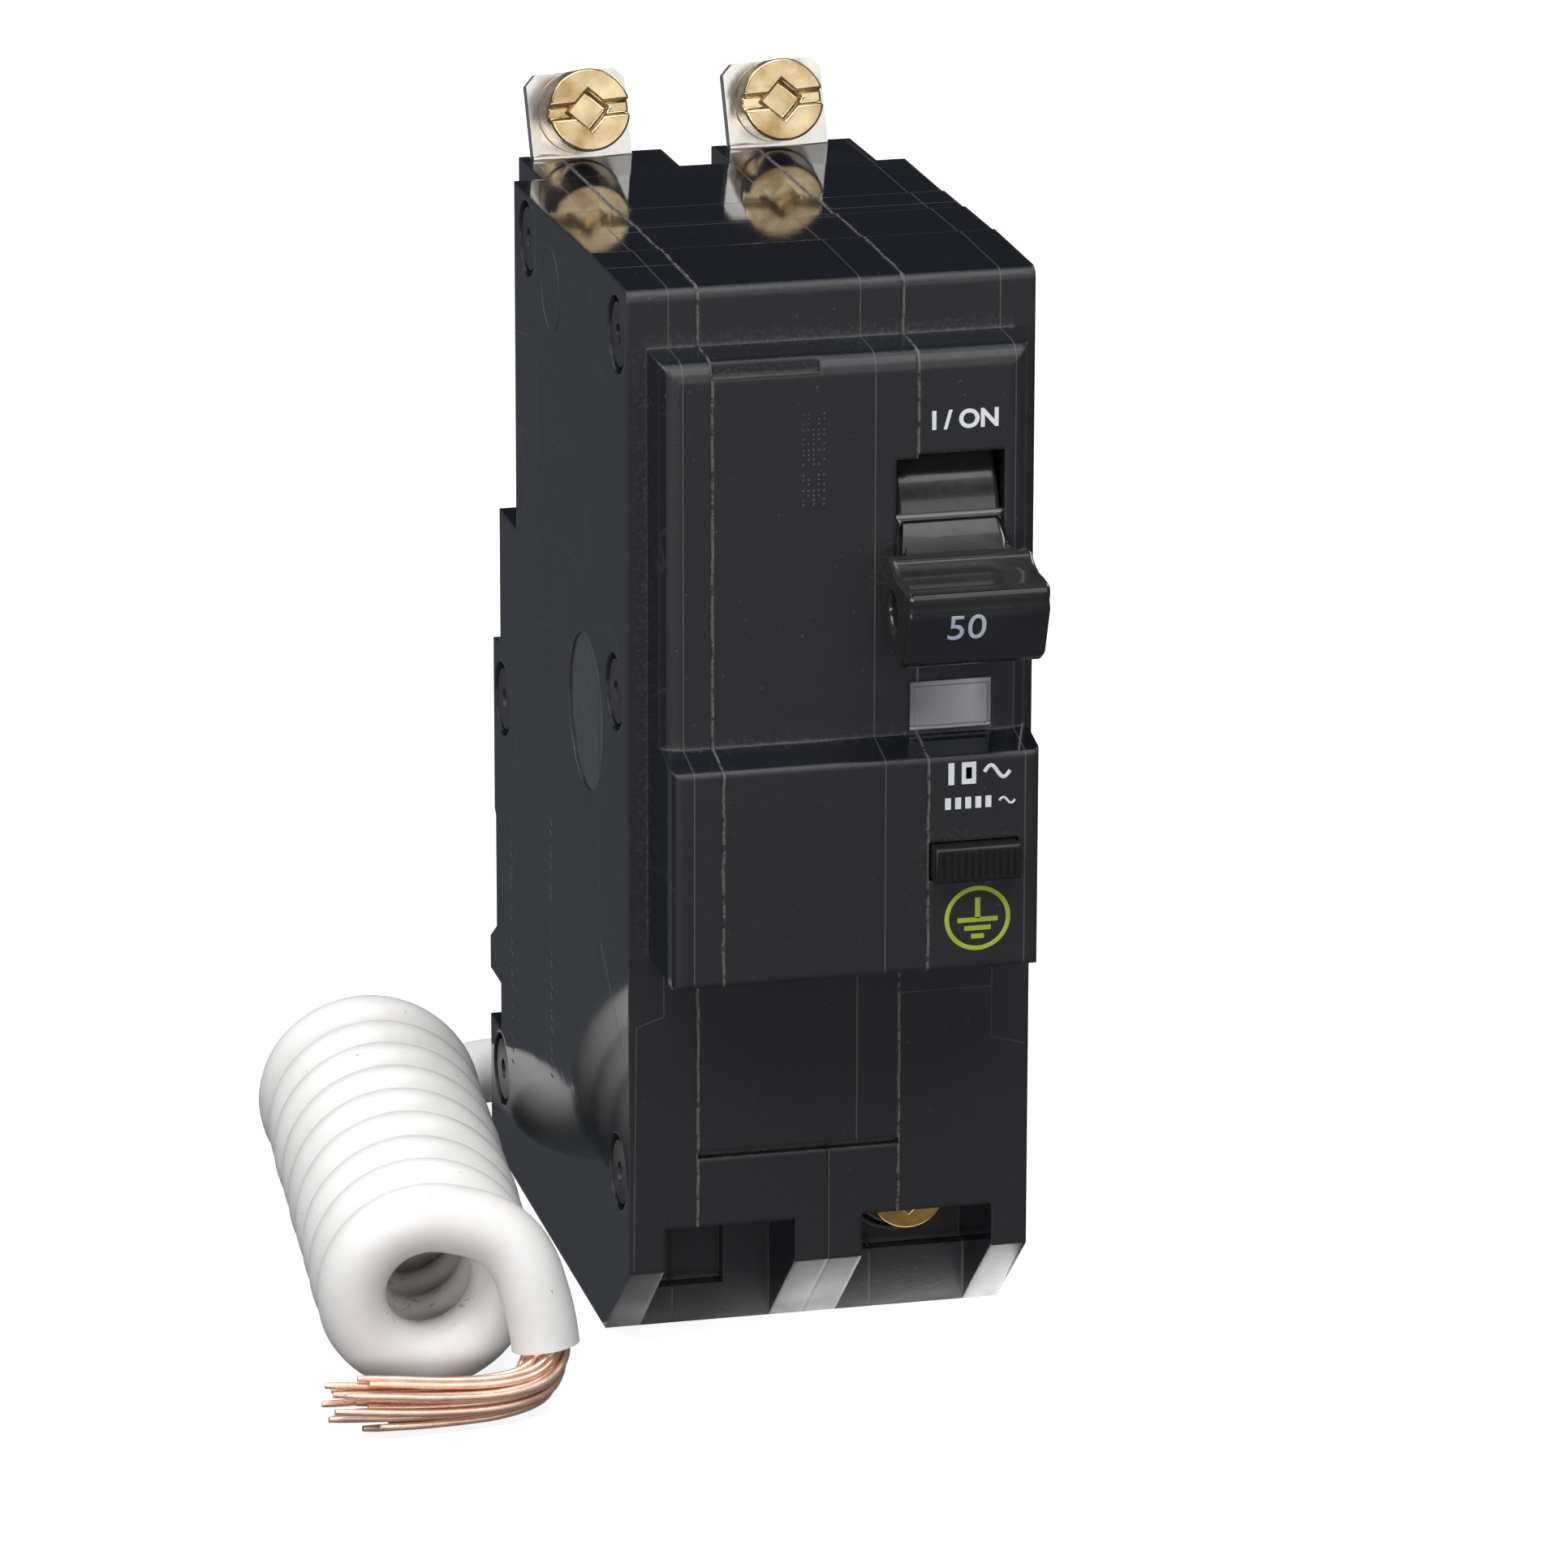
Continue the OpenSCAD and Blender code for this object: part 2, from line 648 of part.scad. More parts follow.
module magnet_yoke_left() {
    color("#6f7276") placed() magnet_yoke(-1);
}

module magnet_yoke_right() {
    color("#6f7276") placed() magnet_yoke(1);
}

module armature(s) {
    c = s * pole_x;
    block(c - 4.2, c + 4.2, armature_y - 0.6, armature_y + 0.6, armature_z, 52);
    x_rod(1, c - 5, c + 5, armature_y, armature_z);
}

module armature_left() {
    color("#6f7276") placed() armature(-1);
}

module armature_right() {
    color("#6f7276") placed() armature(1);
}

// Flexible copper braid from the bimetal's top towards the arm's pivot.
module braid(s) {
    translate([s * pole_x, 39.8, 60]) rotate([90, 0, 90]) rotate_extrude(angle = 180)
        translate([4.8, 0]) circle(r = 1.2, $fn = 24);
}

module braid_left() {
    color("#b87333") placed() braid(-1);
}

module braid_right() {
    color("#b87333") placed() braid(1);
}

// ---- Load terminals ----

module load_strap(s) {
    strip = [[23, 5], [24.2, 5], [24.2, 27], [45.2, 27], [45.2, 28.2], [23, 28.2]];
    x_slab(strip, s * pole_x - 2.5, s * pole_x + 2.5);
}

module load_strap_left() {
    color("#b87333") placed() load_strap(-1);
}

module load_strap_right() {
    color("#b87333") placed() load_strap(1);
}

module load_lug(s) {
    c = s * pole_x;
    difference() {
        block(c - 4.8, c + 4.8, lug_y, 23, 4, 18.6);
        block(c - 3.6, c + 3.6, 15.6, 21.8, 3, 20);
        y_rod(load_screw_r + gap, 10, 16, c, head_z(s));
    }
}

module load_lug_left() {
    color("#a9abad") placed() load_lug(-1);
}

module load_lug_right() {
    color("#a9abad") placed() load_lug(1);
}

module load_screw(s) {
    c = s * pole_x;
    z = head_z(s);
    difference() {
        union() {
            y_rod(load_head_r, screw_y, screw_y + head_t, c, z);
            y_rod(load_screw_r, screw_y, 15.8, c, z);
            y_rod(1.5, 15.7, 16.6, c, z);
        }
        block(c - 5, c + 5, screw_y - 1, screw_y + 1.3, z - 0.7, z + 0.7);
        translate([c, screw_y, z]) rotate([0, 45, 0]) cube([3, 3.6, 3], center = true);
    }
}

module load_screw_left() {
    color("#c8893a") placed() load_screw(-1);
}

module load_screw_right() {
    color("#c8893a") placed() load_screw(1);
}

module pressure_plate(s) {
    c = s * pole_x;
    difference() {
        block(c - 3.4, c + 3.4, 15.8, 16.8, 6, 17.5);
        y_rod(1.5 + gap, 15, 17, c, head_z(s));
    }
}

module pressure_plate_left() {
    color("#9da0a3") placed() pressure_plate(-1);
}

module pressure_plate_right() {
    color("#9da0a3") placed() pressure_plate(1);
}

// ---- Ground-fault electronics ----

module solenoid_coil() {
    color("#a5532a") placed() difference() {
        union() {
            y_rod(3.7, 12, 26, -pole_x, plunger_z);
            for (y = [11, 26]) y_rod(4, y, y + 1, -pole_x, plunger_z);
        }
        y_rod(1.6 + gap, 14, 28, -pole_x, plunger_z);
    }
}

module solenoid_plunger() {
    color("#8f9296") placed() union() {
        y_rod(1.6, 15, 34.6, -pole_x, plunger_z);
        y_rod(2.6, 30, 31, -pole_x, plunger_z);
    }
}

module circuit_board() {
    color("#1f5c3a") placed() block(-3.6, -2.2, 6, 52, 23, 41);
}

module board_components() {
    color("#30302f") placed() union() {
        block(-5, -3.6, 28, 36, 29, 33);
        x_rod(3, -11, -3.6, 22, 34);
        x_rod(4.3, -7.5, -5.2, 12, 33);
        for (z = [31.5, 34.5]) x_rod(0.4, -6, -3.6, 12, z);
        for (y = [40, 44, 48]) block(-4.8, -3.6, y, y + 2.5, 25, 27);
    }
}

module toroid(x0, x1) {
    difference() {
        x_rod(8.6, x0, x1, 36, 11.5);
        x_rod(4.4, x0 - 1, x1 + 1, 36, 11.5);
    }
}

module sense_transformer() {
    color("#c46a2b") placed() toroid(-11.6, -6.9);
}

module neutral_transformer() {
    color("#2f3f7a") placed() toroid(-6.5, -1.6);
}

module sense_jumpers() {
    color("#d8d4c8") placed() for (a = [90, 210, 330])
        x_rod(1.4, a == 90 ? -13.6 : -13, 12, 36 + 2.2 * cos(a), 11.5 + 2.2 * sin(a));
}

module neutral_strap() {
    color("#b87333") placed() union() {
        block(-14.8, -13.6, 33, 46.4, 3, 15.5);
        block(-14.8, -4.7, 46.2, 47.4, 3, 7);
    }
}

// ---- Rail clip and neutral pigtail ----

module rail_clip() {
    color("#9da0a3") placed() difference() {
        block(-6.4, 6.4, 57.4, 62.6, 12.75, 18.85);
        block(-7, 7, 58, 64, 13.35, 18.25);
    }
}

module neutral_wire() {
    color("#f2f1ee") placed() y_rod(wire_r, 47.4, foot_depth, lead_x, lead_z);
}

function unit(v) = v / norm(v);
function heading(p, i) = unit(p[min(i + 1, len(p) - 1)] - p[max(i - 1, 0)]);
function side_of(t) = let (c = cross(t, [0, 0, 1])) norm(c) < 0.2 ? [1, 0, 0] : unit(c);

// A closed tube swept along points, with a half width and a half thickness for each ring.
module tube(p, w, t, sides = 10) {
    rings = [for (i = [0:len(p) - 1]) let (h = heading(p, i), s = side_of(h), u = cross(s, h))
        for (k = [0:sides - 1]) p[i] + w[i] * cos(360 * k / sides) * s + t[i] * sin(360 * k / sides) * u];
    last = (len(p) - 1) * sides;
    skin = [for (i = [0:len(p) - 2]) for (k = [0:sides - 1])
        let (a = i * sides + k, b = i * sides + (k + 1) % sides)
            each [[a, b, b + sides], [a, b + sides, a + sides]]];
    ends = [[for (k = [sides - 1:-1:0]) k], [for (k = [0:sides - 1]) last + k]];
    polyhedron(rings, concat(skin, ends), convexity = 4);
}

function same(v, n) = [for (i = [1:n]) v];

module neutral_lead() {
    n = len(lead_route);
    color("#f2f1ee") placed() tube(lead_route, same(wire_r, n), same(wire_r, n));
}

module neutral_tail() {
    n = len(tail_route);
    color("#f2f1ee") placed() tube(tail_route, same(wire_r, n), same(wire_r, n));
}

module neutral_coil() {
    run = coil_rear - coil_front;
    color("#f2f1ee") placed() translate([coil_front[0], coil_front[1], coil_z])
        rotate([-90, 0, atan2(run[1], run[0]) - 90]) rotate_extrude($fn = 64)
            translate([coil_r - wire_r, 0]) square([wire_d, norm(run)]);
}

module neutral_strands() {
    color("#c9805a") placed() tube(strand_route, strand_w, strand_t);
}

left_cover();
centre_housing();
right_cover();
pole_foot_left();
pole_foot_right();
case_rivets();
line_tab_left();
line_tab_right();
line_screw_left();
line_screw_right();
fixed_contact_left();
fixed_contact_right();
arc_chute_left();
arc_chute_right();
contact_arm_left();
contact_arm_right();
crossbar();
contact_spring_left();
contact_spring_right();
handle();
handle_spring();
window_lens();
trip_flag();
test_button();
test_spring();
test_contact();
cradle_left();
cradle_right();
cradle_pin();
trip_bar();
bimetal_left();
bimetal_right();
magnet_yoke_left();
magnet_yoke_right();
armature_left();
armature_right();
braid_left();
braid_right();
load_strap_left();
load_strap_right();
load_lug_left();
load_lug_right();
load_screw_left();
load_screw_right();
pressure_plate_left();
pressure_plate_right();
solenoid_coil();
solenoid_plunger();
circuit_board();
board_components();
sense_transformer();
neutral_transformer();
sense_jumpers();
neutral_strap();
rail_clip();
neutral_wire();
neutral_lead();
neutral_coil();
neutral_tail();
neutral_strands();
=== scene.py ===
import json
import math
import random

import bmesh
import bpy
from mathutils import Matrix, Vector

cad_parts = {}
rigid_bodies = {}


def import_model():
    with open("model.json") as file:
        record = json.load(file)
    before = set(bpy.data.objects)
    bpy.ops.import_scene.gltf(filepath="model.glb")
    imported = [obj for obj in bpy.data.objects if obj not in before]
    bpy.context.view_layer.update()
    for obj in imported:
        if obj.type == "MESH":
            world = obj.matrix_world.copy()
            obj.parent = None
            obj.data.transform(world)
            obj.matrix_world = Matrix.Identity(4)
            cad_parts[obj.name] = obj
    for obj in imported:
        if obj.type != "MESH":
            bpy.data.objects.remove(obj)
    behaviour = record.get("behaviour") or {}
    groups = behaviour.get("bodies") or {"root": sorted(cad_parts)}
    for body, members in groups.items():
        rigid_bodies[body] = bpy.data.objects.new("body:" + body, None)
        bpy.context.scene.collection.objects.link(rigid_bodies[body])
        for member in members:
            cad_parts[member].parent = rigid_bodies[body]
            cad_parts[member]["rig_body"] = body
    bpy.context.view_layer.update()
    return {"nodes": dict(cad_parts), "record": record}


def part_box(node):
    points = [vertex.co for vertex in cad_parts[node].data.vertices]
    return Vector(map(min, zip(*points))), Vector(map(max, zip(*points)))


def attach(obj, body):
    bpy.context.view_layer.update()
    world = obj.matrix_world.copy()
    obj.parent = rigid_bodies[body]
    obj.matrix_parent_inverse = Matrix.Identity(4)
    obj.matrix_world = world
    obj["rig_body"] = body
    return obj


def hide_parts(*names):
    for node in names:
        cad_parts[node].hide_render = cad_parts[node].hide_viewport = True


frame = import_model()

NODES = frame["nodes"]
MM = 0.001
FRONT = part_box("pole_foot_left")[0].y      # the case's front face
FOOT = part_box("left_cover")[0].z
random.seed(7)


def at(x, y, z):
    """A point given in millimetres from the foot of the case's front face."""
    return Vector((x * MM, FRONT + y * MM, FOOT + z * MM))


# ---- Shader helpers ----

def new_material(name):
    material = bpy.data.materials.new(name)
    material.use_nodes = True
    tree = material.node_tree
    return material, tree, tree.nodes["Principled BSDF"]


def node(tree, kind, **values):
    made = tree.nodes.new(kind)
    for key, value in values.items():
        setattr(made, key, value)
    return made


def link(tree, output, socket):
    tree.links.new(output, socket)


def maths(tree, operation, a, b=None, clamp=False):
    made = tree.nodes.new("ShaderNodeMath")
    made.operation = operation
    made.use_clamp = clamp
    for i, value in enumerate((a, b)):
        if value is None:
            continue
        if isinstance(value, (int, float)):
            made.inputs[i].default_value = value
        else:
            link(tree, value, made.inputs[i])
    return made.outputs[0]


def noise(tree, scale, detail=3.0, rough=0.5, stretch=(1, 1, 1), distortion=0.0):
    """Noise in the row frame, with its size set per metre."""
    where = node(tree, "ShaderNodeTexCoord").outputs["Object"]
    mapping = node(tree, "ShaderNodeMapping")
    mapping.inputs["Scale"].default_value = stretch
    link(tree, where, mapping.inputs["Vector"])
    made = node(tree, "ShaderNodeTexNoise")
    made.inputs["Scale"].default_value = scale
    made.inputs["Detail"].default_value = detail
    made.inputs["Roughness"].default_value = rough
    made.inputs["Distortion"].default_value = distortion
    link(tree, mapping.outputs[0], made.inputs["Vector"])
    return made.outputs["Fac"]


def row_place(tree, kind="Object"):
    """A shading point's place on its object, or another coordinate, split into X, Y and Z."""
    made = node(tree, "ShaderNodeSeparateXYZ")
    link(tree, node(tree, "ShaderNodeTexCoord").outputs[kind], made.inputs[0])
    return made


def ramp(tree, value, stops):
    made = node(tree, "ShaderNodeValToRGB")
    bar = made.color_ramp
    while len(bar.elements) < len(stops):
        bar.elements.new(0.5)
    for element, (place, colour) in zip(bar.elements, stops):
        element.position = place
        grey = isinstance(colour, (int, float))
        element.color = (colour, colour, colour, 1) if grey else (*colour, 1)
    link(tree, value, made.inputs[0])
    return made.outputs[0]


def blended(tree, factor, a, b):
    """Mixes two colours, each a tuple or an output."""
    made = node(tree, "ShaderNodeMix", data_type="RGBA")
    for socket, value in ((made.inputs[0], factor), (made.inputs[6], a), (made.inputs[7], b)):
        if isinstance(value, tuple):
            socket.default_value = (*value, 1)
        elif isinstance(value, (int, float)):
            socket.default_value = value
        else:
            link(tree, value, socket)
    return made.outputs[2]


def edge_wear_and_sheen_bands(tree, rounded):
    """Mask of the narrow bands where rounded normals leave the flat ones: pale edge bands, partly wear and partly
    painted highlight.
    """
    across = node(tree, "ShaderNodeVectorMath", operation="DOT_PRODUCT")
    link(tree, rounded, across.inputs[0])
    link(tree, node(tree, "ShaderNodeNewGeometry").outputs["Normal"], across.inputs[1])
    return ramp(tree, across.outputs["Value"], ((0.86, 1.0), (0.985, 0.0)))


def disc_mask(tree, split, centre, radius):
    """Mask of a round area on a side face, around a row-frame point."""
    dy = maths(tree, "SUBTRACT", split.outputs["Y"], centre.y)
    dz = maths(tree, "SUBTRACT", split.outputs["Z"], centre.z)
    square = maths(tree, "ADD", maths(tree, "MULTIPLY", dy, dy), maths(tree, "MULTIPLY", dz, dz))
    return maths(tree, "LESS_THAN", square, (radius * MM) ** 2)


def rounded_normal(tree, radius):
    """Normals that look rounded where faces meet, radius in millimetres."""
    made = node(tree, "ShaderNodeBevel", samples=4)
    made.inputs["Radius"].default_value = radius * MM
    return made.outputs[0]


def bumped(tree, shader, heights, last=None):
    """Chains bumps, each (height output, strength, distance in metres)."""
    for height, strength, distance in heights:
        made = node(tree, "ShaderNodeBump")
        made.inputs["Strength"].default_value = strength
        made.inputs["Distance"].default_value = distance
        link(tree, height, made.inputs["Height"])
        if last:
            link(tree, last, made.inputs["Normal"])
        last = made.outputs[0]
    link(tree, last, shader.inputs["Normal"])


# ---- Materials ----

def metal(name, dark, light, rough, grain=(1, 1, 1), scale=900.0, spread=0.12, bump=0.15, metallic=1.0):
    """Bare or plated metal: two tones, smudged roughness and fine drawn grain."""
    material, tree, shader = new_material(name)
    shader.inputs["Metallic"].default_value = metallic
    cloud = noise(tree, scale * 0.25, 4.0, 0.6)
    fine = noise(tree, scale, 3.0, 0.6, grain)
    colour = blended(tree, ramp(tree, cloud, ((0.3, 0.0), (0.7, 1.0))), dark, light)
    link(tree, colour, shader.inputs["Base Color"])
    smudged = ramp(tree, fine, ((0.25, max(0.04, rough - spread)), (0.75, rough + spread)))
    link(tree, smudged, shader.inputs["Roughness"])
    bumped(tree, shader, [(fine, bump, 0.00005)])
    return material


def plastic(name, dark, light, rough, scale=700.0, bump=0.1, coat=0.0):
    """Moulded or painted surface: cloudy colour and fine texture."""
    material, tree, shader = new_material(name)
    cloud = noise(tree, scale * 0.2, 4.0, 0.6)
    fine = noise(tree, scale * 2.0, 3.0, 0.6)
    clouded = ramp(tree, cloud, ((0.35, 0.0), (0.65, 1.0)))
    link(tree, blended(tree, clouded, dark, light), shader.inputs["Base Color"])
    grained = ramp(tree, fine, ((0.3, max(0.05, rough - 0.06)), (0.7, rough + 0.06)))
    link(tree, grained, shader.inputs["Roughness"])
    shader.inputs["Coat Weight"].default_value = coat
    bumped(tree, shader, [(fine, bump, 0.00004)])
    return material


def lines_at(tree, x, places, half_width, wobble):
    """Mask of thin wavy lines that run at the given x positions, in millimetres."""
    total = None
    for place in places:
        off = maths(tree, "ABSOLUTE", maths(tree, "ADD", maths(tree, "SUBTRACT", x, place * MM), wobble))
        mask = maths(tree, "LESS_THAN", off, half_width * MM)
        total = mask if total is None else maths(tree, "MAXIMUM", total, mask)
    return total


SEAMS = (-12.5, 6.65)                      # x of the joints between the mouldings
OUTER_LINES = (-15.2, 15.75)               # x of the mould lines above the step at z 37.5
POLE_LINE = 2.65                           # x of the mould line above the gap
FOOT_SEAM = 0.0                            # x of the joint below the gap
STEP_Z = 37.5
GAP_Z = (20.2, 20.8)
TOP_LINES = ((-19.1, -12.5, (8.9, 15.6, 23.3)), (-12.5, 6.65, (24.9, 34.0)), (6.65, 19.1, (29.0, 34.0)))
DISC = (18, 58.7)                          # y, z of the round area on the left side
DISC_R = 7.35


def times(tree, a, b):
    return maths(tree, "MULTIPLY", a, b)


def largest(tree, *values):
    total = values[0]
    for value in values[1:]:
        total = maths(tree, "MAXIMUM", total, value)
    return total


def mould_marks(tree, place, normal, near, flat):
    """Mask of the dusty seams in full and the fainter mould lines at half strength, on front and top faces."""
    x, z = place.outputs["X"], place.outputs["Z"]
    wobble = times(tree, maths(tree, "SUBTRACT", noise(tree, 420.0, 3.0, 0.7), 0.5), 0.0004)
    broken = ramp(tree, noise(tree, 900.0, 3.0, 0.7), ((0.36, 0.0), (0.5, 1.0)))
    seam = times(tree, lines_at(tree, x, SEAMS, 0.13, wobble), broken)
    above_step = maths(tree, "GREATER_THAN", z, at(0, 0, STEP_Z).z)
    above_gap = maths(tree, "GREATER_THAN", z, at(0, 0, GAP_Z[1]).z)
    below_gap = maths(tree, "LESS_THAN", z, at(0, 0, GAP_Z[0]).z)
    thin = largest(tree, times(tree, lines_at(tree, x, OUTER_LINES, 0.06, 0.0), above_step),
                   times(tree, lines_at(tree, x, (POLE_LINE,), 0.06, 0.0), above_gap),
                   times(tree, lines_at(tree, x, (FOOT_SEAM,), 0.07, 0.0), below_gap))
    from_front = maths(tree, "SUBTRACT", place.outputs["Y"], FRONT)
    for x0, x1, places in TOP_LINES:
        inside = times(tree, maths(tree, "GREATER_THAN", x, x0 * MM), maths(tree, "LESS_THAN", x, x1 * MM))
        across = lines_at(tree, from_front, places, 0.1, 0.0)
        thin = largest(tree, thin, times(tree, times(tree, across, inside), flat))
    sideways = maths(tree, "LESS_THAN", maths(tree, "ABSOLUTE", normal.outputs["X"]), 0.6)
    marks = largest(tree, seam, times(tree, thin, 0.5))
    return times(tree, times(tree, marks, sideways), largest(tree, near, flat))


def corner_dust(tree, near):
    """Mask of fine powder that has settled in the inner corners of the front."""
    corner = node(tree, "ShaderNodeAmbientOcclusion", samples=4)
    corner.inputs["Distance"].default_value = 2.2 * MM
    powder = ramp(tree, noise(tree, 3200.0, 3.0, 0.7), ((0.52, 0.0), (0.62, 1.0)))
    settled = times(tree, maths(tree, "SUBTRACT", 1.0, corner.outputs["AO"]), powder)
    return times(tree, times(tree, settled, near), 0.42)


def phenolic():
    """Black moulded case: satin and grained in front, glossy on its sides and top; its base colour is painted lighter
    on front faces and darker blue-black on sides and top, as painted light and shade.
    """
    material, tree, shader = new_material("black_phenolic")
    place = row_place(tree)
    normal = row_place(tree, "Normal")
    front = ramp(tree, times(tree, normal.outputs["Y"], -1.0), ((0.45, 0.0), (0.75, 1.0)))
    flat = maths(tree, "GREATER_THAN", normal.outputs["Z"], 0.7)
    leftwards = maths(tree, "LESS_THAN", normal.outputs["X"], -0.6)
    near = maths(tree, "LESS_THAN", place.outputs["Y"], at(0, 1.0, 0).y)

    grain = noise(tree, 5200.0, 3.0, 0.62)
    cloud = noise(tree, 70.0, 4.0, 0.6)
    flow = noise(tree, 60.0, 5.0, 0.55, (1.0, 0.5, 2.6), 1.6)
    specks = ramp(tree, noise(tree, 2300.0, 2.0, 0.4), ((0.735, 0.0), (0.76, 1.0)))
    marks = mould_marks(tree, place, normal, near, flat)
    rounded = rounded_normal(tree, 0.5)
    # pale bands along rounded edges, partly wear and partly painted highlight
    edge_wear_and_sheen_strength = ramp(tree, cloud, ((0.3, 0.1), (0.65, 0.42)))
    edge = times(tree, edge_wear_and_sheen_bands(tree, rounded_normal(tree, 0.16)), edge_wear_and_sheen_strength)
    swirl = noise(tree, 34.0, 2.0, 0.4, (1, 0.7, 1), 1.1)
    flow_lines = ramp(tree, swirl, ((0.495, 0.0), (0.5, 1.0), (0.505, 0.0)))
    flow_lines = times(tree, times(tree, flow_lines, leftwards), 0.09)
    mottle = ramp(tree, noise(tree, 480.0, 4.0, 0.7), ((0.35, 0.16), (0.7, 0.34)))
    disc = times(tree, times(tree, disc_mask(tree, place, at(0, *DISC), DISC_R), leftwards), mottle)

    # painted light and shade: base colour lighter on front-facing surfaces, darker blue-black on sides and top
    base = blended(tree, front, (0.0052, 0.0068, 0.0115), (0.0245, 0.0245, 0.0270))
    base = blended(tree, times(tree, cloud, 0.35), base, (0.017, 0.019, 0.023))
    # pale marks mixed over the base: dust specks, seams, edge bands that are partly painted highlight, label disc,
    # flow lines, corner dust
    pale_marks_and_sheen = largest(tree, times(tree, specks, 0.22), times(tree, marks, 0.62), edge, disc, flow_lines,
                   corner_dust(tree, near))
    link(tree, blended(tree, pale_marks_and_sheen, base, (0.20, 0.20, 0.195)), shader.inputs["Base Color"])

    rough = maths(tree, "ADD", times(tree, front, 0.27), times(tree, flow, 0.04))
    rough = maths(tree, "ADD", rough, times(tree, maths(tree, "ADD", marks, disc), 0.3))
    link(tree, maths(tree, "ADD", rough, 0.035), shader.inputs["Roughness"])
    grain = times(tree, grain, maths(tree, "ADD", times(tree, front, 0.8), 0.05))
    heights = [(grain, 0.35, 0.00008), (marks, 0.8, 0.00012), (flow, 0.12, 0.0002)]
    bumped(tree, shader, heights, rounded)
    return material


def insulation():
    """White extruded wire covering, slightly waxy, with faint grey spots, and darker blotches on the faces inside the
    coil.
    """
    material, tree, shader = new_material("white_insulation")
    cloud = noise(tree, 120.0, 4.0, 0.6)
    spots = ramp(tree, noise(tree, 1300.0, 2.0, 0.5), ((0.74, 0.0), (0.78, 1.0)))
    base = blended(tree, ramp(tree, cloud, ((0.4, 0.0), (0.75, 1.0))), (0.87, 0.86, 0.845), (0.79, 0.78, 0.765))
    split = row_place(tree)
    middle = at(-38.2, 0, 10.7)            # the coil's axis at its front end
    dx = maths(tree, "SUBTRACT", split.outputs["X"], middle.x)
    dz = maths(tree, "SUBTRACT", split.outputs["Z"], middle.z)
    square = maths(tree, "ADD", maths(tree, "MULTIPLY", dx, dx), maths(tree, "MULTIPLY", dz, dz))
    inside = maths(tree, "LESS_THAN", square, (4.75 * MM) ** 2)
    # darker blotches, only on the faces inside the coil
    inner_dark_blotches = ramp(tree, noise(tree, 620.0, 4.0, 0.75, (1, 1, 1), 0.8), ((0.58, 0.0), (0.62, 0.85)))
    spots = maths(tree, "MAXIMUM", spots, maths(tree, "MULTIPLY", inner_dark_blotches, inside))
    base = blended(tree, maths(tree, "MULTIPLY", spots, 0.6), base, (0.16, 0.155, 0.15))
    link(tree, base, shader.inputs["Base Color"])
    shader.inputs["Subsurface Weight"].default_value = 0.12
    shader.inputs["Subsurface Radius"].default_value = (0.0012, 0.0010, 0.0008)
    link(tree, ramp(tree, noise(tree, 260.0), ((0.3, 0.36), (0.7, 0.48))), shader.inputs["Roughness"])
    bumped(tree, shader, [(noise(tree, 900.0, 4.0, 0.6), 0.12, 0.00008)])
    return material


def lens_plastic():
    """Clear bevelled window over a pale tray, with painted light and shade: darker at both ends, lightest right of
    centre, a painted highlight along its frame and a painted shade line in it.
    """
    material, tree, shader = new_material("window_plastic")
    split = row_place(tree)
    low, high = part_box("window_lens")
    across = maths(tree, "DIVIDE", maths(tree, "SUBTRACT", split.outputs["X"], low.x), high.x - low.x, clamp=True)
    up = maths(tree, "DIVIDE", maths(tree, "SUBTRACT", split.outputs["Z"], low.z), high.z - low.z, clamp=True)
    side = maths(tree, "MULTIPLY", maths(tree, "ABSOLUTE", maths(tree, "SUBTRACT", across, 0.5)), high.x - low.x)
    over = maths(tree, "MULTIPLY", maths(tree, "ABSOLUTE", maths(tree, "SUBTRACT", up, 0.5)), high.z - low.z)
    to_side = maths(tree, "SUBTRACT", (high.x - low.x) / 2, side)
    to_end = maths(tree, "SUBTRACT", (high.z - low.z) / 2, over)
    inset = maths(tree, "DIVIDE", maths(tree, "MINIMUM", to_side, to_end), 1.0 * MM, clamp=True)
    # painted shading across the window: darker at both ends, lightest right of centre, evened towards mid grey near
    # the bottom
    haze = maths(tree, "MULTIPLY", maths(tree, "SUBTRACT", noise(tree, 420.0, 3.0, 0.6), 0.5), 0.18)
    painted_shading = ramp(tree, maths(tree, "ADD", across, haze), ((0.05, (0.20, 0.20, 0.22)), (0.45, (0.42, 0.42, 0.45)),
                                                         (0.72, (0.60, 0.60, 0.63)), (0.97, (0.34, 0.34, 0.36))))
    painted_shading = blended(tree, ramp(tree, up, ((0.0, 0.45), (0.5, 0.0))), painted_shading, (0.48, 0.48, 0.50))
    # painted highlight along the frame, and a painted shade line just inside it
    rim_highlight = ramp(tree, inset, ((0.28, 1.0), (0.34, 0.0)))
    line = ramp(tree, inset, ((0.30, 0.0), (0.38, 0.8), (0.5, 0.0)))
    painted_shading = blended(tree, maths(tree, "MULTIPLY", rim_highlight, 0.8), painted_shading, (0.62, 0.62, 0.64))
    link(tree, blended(tree, line, painted_shading, (0.05, 0.05, 0.055)), shader.inputs["Base Color"])
    shader.inputs["Roughness"].default_value = 0.2
    shader.inputs["Transmission Weight"].default_value = 0.15
    shader.inputs["Coat Weight"].default_value = 0.6
    shader.inputs["Coat Roughness"].default_value = 0.05
    bumped(tree, shader, [(noise(tree, 1800.0), 0.08, 0.00004)], rounded_normal(tree, 0.3))
    return material


